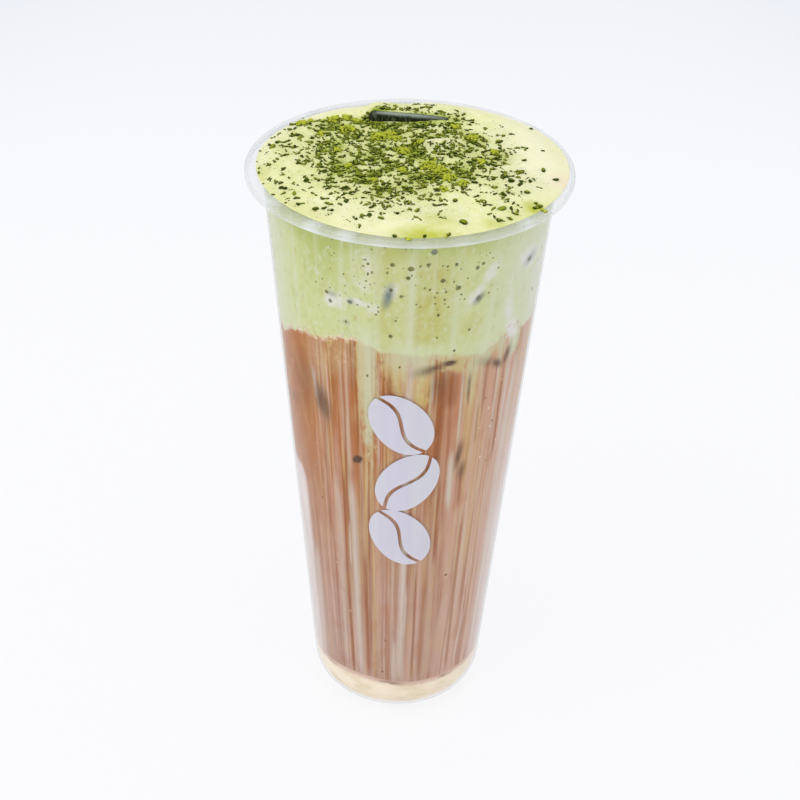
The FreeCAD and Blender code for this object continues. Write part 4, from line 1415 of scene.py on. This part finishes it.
# x, y of the yellow drops along the front of the rim
DROPS = ((-0.3, -43.1), (0.2, -43.6), (9.6, -41.6), (34.6, -25.4), (35.4, -26.4))
# x, y of the larger wet grains at the ice, at the hollow and on the drops
WET_SPOTS = (
    (-6.4, 20.0), (-4.2, 20.6), (1.4, 20.2), (2.6, 21.0), (-3.0, 22.4), (16.4, 8.0), (-3.4, -42.5),
    (4.2, -42.3), (10.1, -41.3), (33.4, -24.6), (32.6, -25.4),
)


def grain_shape(columns, rows):
    """A unit ball as a coarse grid, with the faces of shell."""
    up = np.linspace(-np.pi / 2, np.pi / 2, rows)
    return shell(lathe(np.stack([np.cos(up), np.sin(up)], 1), columns))


def repeated_faces(faces, size, count):
    """The faces of one shape, for count copies whose size vertices follow one another."""
    longest = max(len(face) for face in faces)
    table = np.array([[*face, *[-1] * (longest - len(face))] for face in faces])
    shifted = table[None] + (np.arange(count) * size)[:, None, None]
    shifted = np.where(table[None] < 0, -1, shifted).reshape(-1, longest)
    return [row[row >= 0].tolist() for row in shifted]


def scatter_grains(rng, x, y, z, wide, flat, turn=None, shape=(7, 5), jag=0.18):
    """Lumps at x, y, z: unit balls stretched, roughened, tilted, turned and moved, all as arrays.

    Lit says how high on its grain a vertex lies, a little more or less from grain to grain.
    """
    verts, faces = grain_shape(*shape)
    count = len(x)
    long = wide * rng.uniform(1.0, 1.6, count)
    short = long * rng.uniform(0.5, 0.85, count)
    size = np.stack([long, short, wide * flat * rng.uniform(0.7, 1.3, count)], 1) / 2
    rough = 1 + jag * rng.uniform(-1.1, 0.9, (count, len(verts), 1))
    points = verts[None] * rough * size[:, None]
    tilt = rng.normal(0, 0.3, count)[:, None]
    turn = (rng.uniform(0, TAU, count) if turn is None else turn)[:, None]
    px = points[..., 0] * np.cos(tilt) + points[..., 2] * np.sin(tilt)
    pz = points[..., 2] * np.cos(tilt) - points[..., 0] * np.sin(tilt)
    py = points[..., 1]
    moved = np.stack([
        px * np.cos(turn) - py * np.sin(turn) + x[:, None],
        px * np.sin(turn) + py * np.cos(turn) + y[:, None],
        np.minimum(pz + z[:, None], FOAM_HIGH[2]),
    ], 2)
    lit = verts[:, 2] + rng.uniform(-0.45, 0.35, (count, 1))
    return moved.reshape(-1, 3), repeated_faces(faces, len(verts), count), {"lit": lit.ravel()}


def on_ice(x, y):
    """Where the ice's bare front edge stands out of the foam; its ends are half covered."""
    return (np.abs(x - 0.2) < 12.0) & (y > ICE_LOW[1] - 0.5) & (y < ICE_LOW[1] + 1.8)


def strewn(rng, count, density, chain, gap):
    """Random places kept by density, each seed drawn out into a short chain with its own direction."""
    reach, bare_from = 43, 41.8
    found, ways = np.empty((0, 2)), np.empty(0)
    while len(found) < count:
        seeds = rng.uniform(-reach, reach, (count, 2))
        way = np.repeat(rng.uniform(0, TAU, count), chain)
        along = gap * (np.tile(np.arange(chain), count) + rng.normal(0, 0.25, count * chain))
        bend = rng.normal(0, 0.22 * gap, count * chain)
        around = np.repeat(seeds, chain, axis=0) + np.stack([
            along * np.cos(way) - bend * np.sin(way), along * np.sin(way) + bend * np.cos(way),
        ], 1)
        keep = np.repeat(density(*seeds.T) > rng.random(count), chain)
        keep &= np.hypot(*around.T) < bare_from
        keep &= ~on_ice(*around.T)
        found, ways = np.concatenate([found, around[keep]]), np.concatenate([ways, way[keep]])
    return *found[:count].T, ways[:count]


def powder_material(name, inner, outer, least, most):
    """Dull powder with the inner colour below and the outer one high on each grain, in patches."""
    paint = Paint(name)
    place = paint.place()
    patchy = paint.noise(place, 1.6, (1, 1, 1), 3.0, 0.6)
    grit = paint.noise(place, 0.3, (1, 1, 1), 2.0, 0.6)
    lit_share = paint.step(paint.attribute("lit") + patchy * 1.4 - 0.7, least, most)
    return paint.finish(paint.principled(
        Base_Color=paint.mix(lit_share, inner, outer), Roughness=0.85, IOR=1.3,
        Specular_IOR_Level=0.2, Normal=paint.bump(grit, 0.12, 0.6),
    ))


def clump(rng, x, y, radius):
    """Grains heaped round a point, bell-shaped in plan and highest in the middle: x, y, z and size."""
    count = int(24 * radius**1.6)
    px, py = rng.normal(0, radius * 0.48, (2, count))
    size = rng.uniform(0.45, 1.0, count)
    heap = 0.36 * radius * np.exp(-(px**2 + py**2) / (0.7 * radius**2)) * rng.uniform(0.3, 1.0, count)
    return x + px, y + py, foam_surface(x + px, y + py) + 0.1 + heap, size


def make_powder():
    """Sifted matcha: dark wet granules in chains, larger singles, fine crumbs and fresh clumps."""
    powder = settings("powder")
    rng = np.random.default_rng(powder.seed)
    wide = powder.size / MM
    all_round = 180.0
    # each powder material paints its grains shaded below and lit on top
    wet = powder_material("wet matcha", powder.dark, powder.moist_and_lit, 0.25, 1.0)
    moist_and_lit = powder_material("moist matcha", powder.dark, powder.moist_and_lit, -0.2, 0.8)
    fresh = powder_material("fresh matcha", FRESH_SHADE, powder.fresh, -0.6, 0.7)

    def add(name, grains, material, sharp_from=all_round):
        verts, faces, values = grains
        new_piece(name, verts, faces, material, (), values, sharp_from)

    x, y, way = strewn(rng, powder.granules, powder_density, 3, 0.9 * wide)
    way = way + rng.normal(0, 0.35, len(x))
    size = wide * rng.lognormal(0, 0.36, len(x)).clip(0.45, 2.0)
    z = foam_surface(x, y) + 0.10 * size
    add("matcha_granules", scatter_grains(rng, x, y, z, size, 0.62, way), wet)

    x, y = np.array(SINGLES + WET_SPOTS).T
    size = wide * rng.uniform(1.5, 2.5, len(x))
    z = foam_surface(x, y) + 0.1 * size
    add("matcha_singles", scatter_grains(rng, x, y, z, size, 0.6, None, (18, 12), 0.09), wet)

    x, y, way = strewn(rng, powder.crumbs, lambda x, y: powder_density(x, y) ** 0.7, 1, 1.0)
    size = wide * rng.uniform(0.2, 0.42, len(x))
    z = foam_surface(x, y) + 0.1 * size
    add("matcha_crumbs", scatter_grains(rng, x, y, z, size, 0.7, way, (5, 4)), moist_and_lit, 60.0)

    heaps = [clump(rng, *place) for place in CLUMPS]
    drop_x, drop_y = np.array(DROPS).T
    drop_size = rng.uniform(0.8, 1.5, len(drop_x))
    heaps.append((drop_x, drop_y, foam_surface(drop_x, drop_y) - 0.15, drop_size))
    x, y, z, size = (np.concatenate(part) for part in zip(*heaps))
    add("matcha_clumps", scatter_grains(rng, x, y, z, size, 0.75), fresh)


# ---------------------------------------------------------------- print

def print_material():
    """Thin lilac-white ink that lets a little of the drink through."""
    ink = settings("print").ink
    paint = Paint("translucent ink")
    worn = paint.noise(paint.place(), 6.0, (1, 1, 20), 2.0)
    tint = paint.mix(paint.step(worn, 0.4, 0.66) * 0.5, ink, WORN_INK)
    solid = paint.principled(Base_Color=tint, Roughness=0.35, IOR=1.45)
    return paint.finish(paint.see_through(paint.step(worn, 0.3, 0.7, 0.93, 0.84), solid))


# half length and half width of a bean, and half the gap at its seam
BEAN_LENGTH, BEAN_WIDTH, HALF_SEAM = 11.4, 8.0, 0.55
# each bean's shift sideways, part of the way from the print's low to its high edge, and tilt in degrees
BEANS = ((-0.4, 0.835, 36), (1.76, 0.50, -34), (0.0, 0.165, 32))


def bean_half(across, along, side):
    """Half of an upright coffee bean as a grid, from its wavy seam at 0 to its oval outline at 1.

    Along runs from -1 at the foot to 1 at the tip; its sine spaces the rows closer at the ends.
    """
    rise = np.sin(along * np.pi / 2)
    outline = side * BEAN_WIDTH * np.sqrt(np.maximum(0.0, 1 - rise**2))
    seam = side * HALF_SEAM + 0.22 * BEAN_WIDTH * np.sin(rise * np.pi)
    seam = np.clip(seam, -np.abs(outline), np.abs(outline))
    return seam + (outline - seam) * across, rise * BEAN_LENGTH


def make_print():
    """Plain coffee beans in a column: flat grids laid round the wall's cone, just outside it."""
    ink, wall = settings("print"), Wall()
    low, high = ink.low / MM, ink.high / MM
    across, along = np.meshgrid(np.linspace(0, 1, 9), np.linspace(-1, 1, 41), indexing="ij")
    verts, faces = [], []
    for shift, part, tilt in BEANS:
        turn = math.radians(tilt)
        for side in (-1, 1):
            px, py = bean_half(across, along, side)
            aside = px * math.cos(turn) - py * math.sin(turn) + shift
            height = px * math.sin(turn) + py * math.cos(turn) + low + (high - low) * part
            radius = wall.outside(height) + ink.lift / MM
            points = about_axis(radius, aside / wall.outside(height), height)
            quads = grid_faces(*across.shape, first=sum(len(v) for v in verts), closed=False)
            faces.append(quads if side < 0 else quads[:, ::-1])
            verts.append(points.reshape(-1, 3))
    new_piece(
        "wall_print", np.concatenate(verts), np.concatenate(faces), print_material(), welded=True,
    )


# ---------------------------------------------------------------- stage

def floor_material():
    """White card, lit up evenly where it is looked at, so that it keeps only a faint shadow."""
    stage = settings("stage")
    paint = Paint("white card")
    aside, away = (paint.node("SeparateXYZ", {}, {0: paint.place()}, output=output) for output in (0, 1))
    # painted shade towards the card's far corners
    corner = paint.step(aside * aside, 0.01, 0.12) * paint.step(away, 0.25, 0.8)
    tint = paint.over(stage.floor, (
        (paint.step(away, 0.15, 1.0), stage.backdrop), (corner * 0.8, CARD_CORNER_SHADE),
    ))
    card = paint.principled(Base_Color=tint, Roughness=0.9, IOR=1.2)
    glow = paint.node("Emission", {}, {"Color": tint, "Strength": 1.0})
    camera, glossy, transmission = (paint.node("LightPath", output=output) for output in (0, 3, 6))
    seen = camera.most(glossy).most(transmission)
    return paint.finish(paint.node("MixShader", {}, {0: seen * stage.glow, 1: card, 2: glow}))


def make_stage():
    """White card: a floor that turns up behind the cup, as a profile carried sideways."""
    stage = settings("stage")
    reach, bend, far = 2500.0, 700.0, 900.0
    corner = arc(far, bend, bend, -90, 0, 24)
    profile = np.concatenate([[[-reach, 0.0]], corner, [[far + bend, reach]]])
    x, away = np.meshgrid(np.linspace(-reach, reach, 3), profile[:, 0])
    height = np.broadcast_to(profile[:, 1:], x.shape)
    verts = np.stack([x, away, height], 2).reshape(-1, 3)
    mesh = bpy.data.meshes.new("white_card")
    mesh.from_pydata((verts * MM).tolist(), [], grid_faces(len(profile), 3, closed=False).tolist())
    mesh.shade_smooth()
    mesh.materials.append(floor_material())
    card = bpy.data.objects.new("white_card", mesh)
    bpy.context.scene.collection.objects.link(card)
    add_camera(stage)
    add_lights(stage)


def add_camera(stage):
    """A camera in front of the cup that looks down at it, rolled a little."""
    data = bpy.data.cameras.new("camera")
    data.lens = stage.lens
    data.sensor_width = 36.0
    camera = bpy.data.objects.new("camera", data)
    pitch = Matrix.Rotation(math.pi / 2 - stage.pitch, 4, "X")
    yaw = Matrix.Rotation(stage.yaw, 4, "Z")
    roll = Matrix.Rotation(stage.roll, 4, "Z")
    camera.matrix_world = Matrix.Translation((0, -stage.back, stage.up)) @ yaw @ pitch @ roll
    bpy.context.scene.collection.objects.link(camera)
    bpy.context.scene.camera = camera


def add_area(name, place, aim, size, watts, tint):
    """A rectangular lamp at a place, turned towards what it aims at."""
    data = bpy.data.lights.new(name, "AREA")
    data.shape = "RECTANGLE"
    data.size, data.size_y = size
    data.energy = watts
    data.color = tint
    lamp = bpy.data.objects.new(name, data)
    way = Vector(aim) - Vector(place)
    lamp.matrix_world = Matrix.Translation(place) @ way.to_track_quat("-Z", "Y").to_matrix().to_4x4()
    bpy.context.scene.collection.objects.link(lamp)


def add_lights(stage):
    """An even white surround with one large soft lamp up to the left."""
    world = bpy.data.worlds.new("surround")
    world.use_nodes = True
    nodes, links = world.node_tree.nodes, world.node_tree.links
    lit, mirrored = nodes["Background"], nodes.new("ShaderNodeBackground")
    for background, strength in ((lit, stage.sky), (mirrored, 1.0)):
        background.inputs["Color"].default_value = SURROUND
        background.inputs["Strength"].default_value = strength
    rays, either, mixed = (nodes.new(f"ShaderNode{kind}") for kind in ("LightPath", "Math", "MixShader"))
    either.operation = "MAXIMUM"
    links.new(rays.outputs["Is Glossy Ray"], either.inputs[0])
    links.new(rays.outputs["Is Transmission Ray"], either.inputs[1])
    links.new(either.outputs[0], mixed.inputs[0])
    links.new(lit.outputs[0], mixed.inputs[1])
    links.new(mirrored.outputs[0], mixed.inputs[2])
    links.new(mixed.outputs[0], nodes["World Output"].inputs["Surface"])
    bpy.context.scene.world = world
    add_area("key", (-0.45, -0.35, 0.85), (0, 0, 0.12), (0.5, 0.5), stage.key, (1.0, 0.99, 0.97))


# ---------------------------------------------------------------- add-on

def operator(name, label, text, action):
    """An operator class that runs one of the functions above."""
    def execute(self, context):
        action()
        return {"FINISHED"}

    return type(f"COFFEE_OT_{name}", (bpy.types.Operator,), {
        "bl_idname": f"coffee.{name}", "bl_label": label, "bl_options": {"REGISTER", "UNDO"},
        "__doc__": text, "execute": execute,
    })


OPERATORS = (
    operator("cup", "Clear cup", "Make the clear cup", make_cup),
    operator("milk", "Condensed milk", "Make the condensed milk at the foot", make_milk),
    operator("coffee", "Coffee", "Make the milky coffee with its streaks", make_coffee),
    operator("foam", "Matcha foam", "Make the matcha cream foam", make_foam),
    operator("bubbles", "Bubbles", "Make the bubbles at the wall", make_bubbles),
    operator("ice", "Ice", "Make the piece of ice", make_ice),
    operator("powder", "Matcha powder", "Scatter the matcha powder", make_powder),
    operator("print", "Print", "Lay the plain print on the wall", make_print),
    operator("stage", "Stage", "Make floor, camera and lights", make_stage),
)


class COFFEE_PT_panel(bpy.types.Panel):
    """Lists the operators and their settings."""
    bl_label = "Iced Coffee"
    bl_idname = "COFFEE_PT_panel"
    bl_space_type = "VIEW_3D"
    bl_region_type = "UI"
    bl_category = "Iced Coffee"

    def draw(self, context):
        for made in OPERATORS:
            self.layout.operator(made.bl_idname)
        for group in GROUPS:
            box = self.layout.box()
            box.label(text=group.capitalize())
            for name in GROUPS[group].__annotations__:
                box.prop(settings(group), name)


CLASSES = (*GROUPS.values(), CoffeeSettings, *OPERATORS, COFFEE_PT_panel)


def register():
    for made in CLASSES:
        bpy.utils.register_class(made)
    bpy.types.Scene.iced_coffee = PointerProperty(type=CoffeeSettings)


def unregister():
    del bpy.types.Scene.iced_coffee
    for made in reversed(CLASSES):
        bpy.utils.unregister_class(made)


def main():
    """Builds everything in order and notes the two boxes."""
    register()
    bpy.context.scene.view_settings.view_transform = "Standard"
    for made in OPERATORS:
        getattr(bpy.ops.coffee, made.bl_idname.split(".")[1])()
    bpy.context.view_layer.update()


if __name__ == "__main__":
    main()
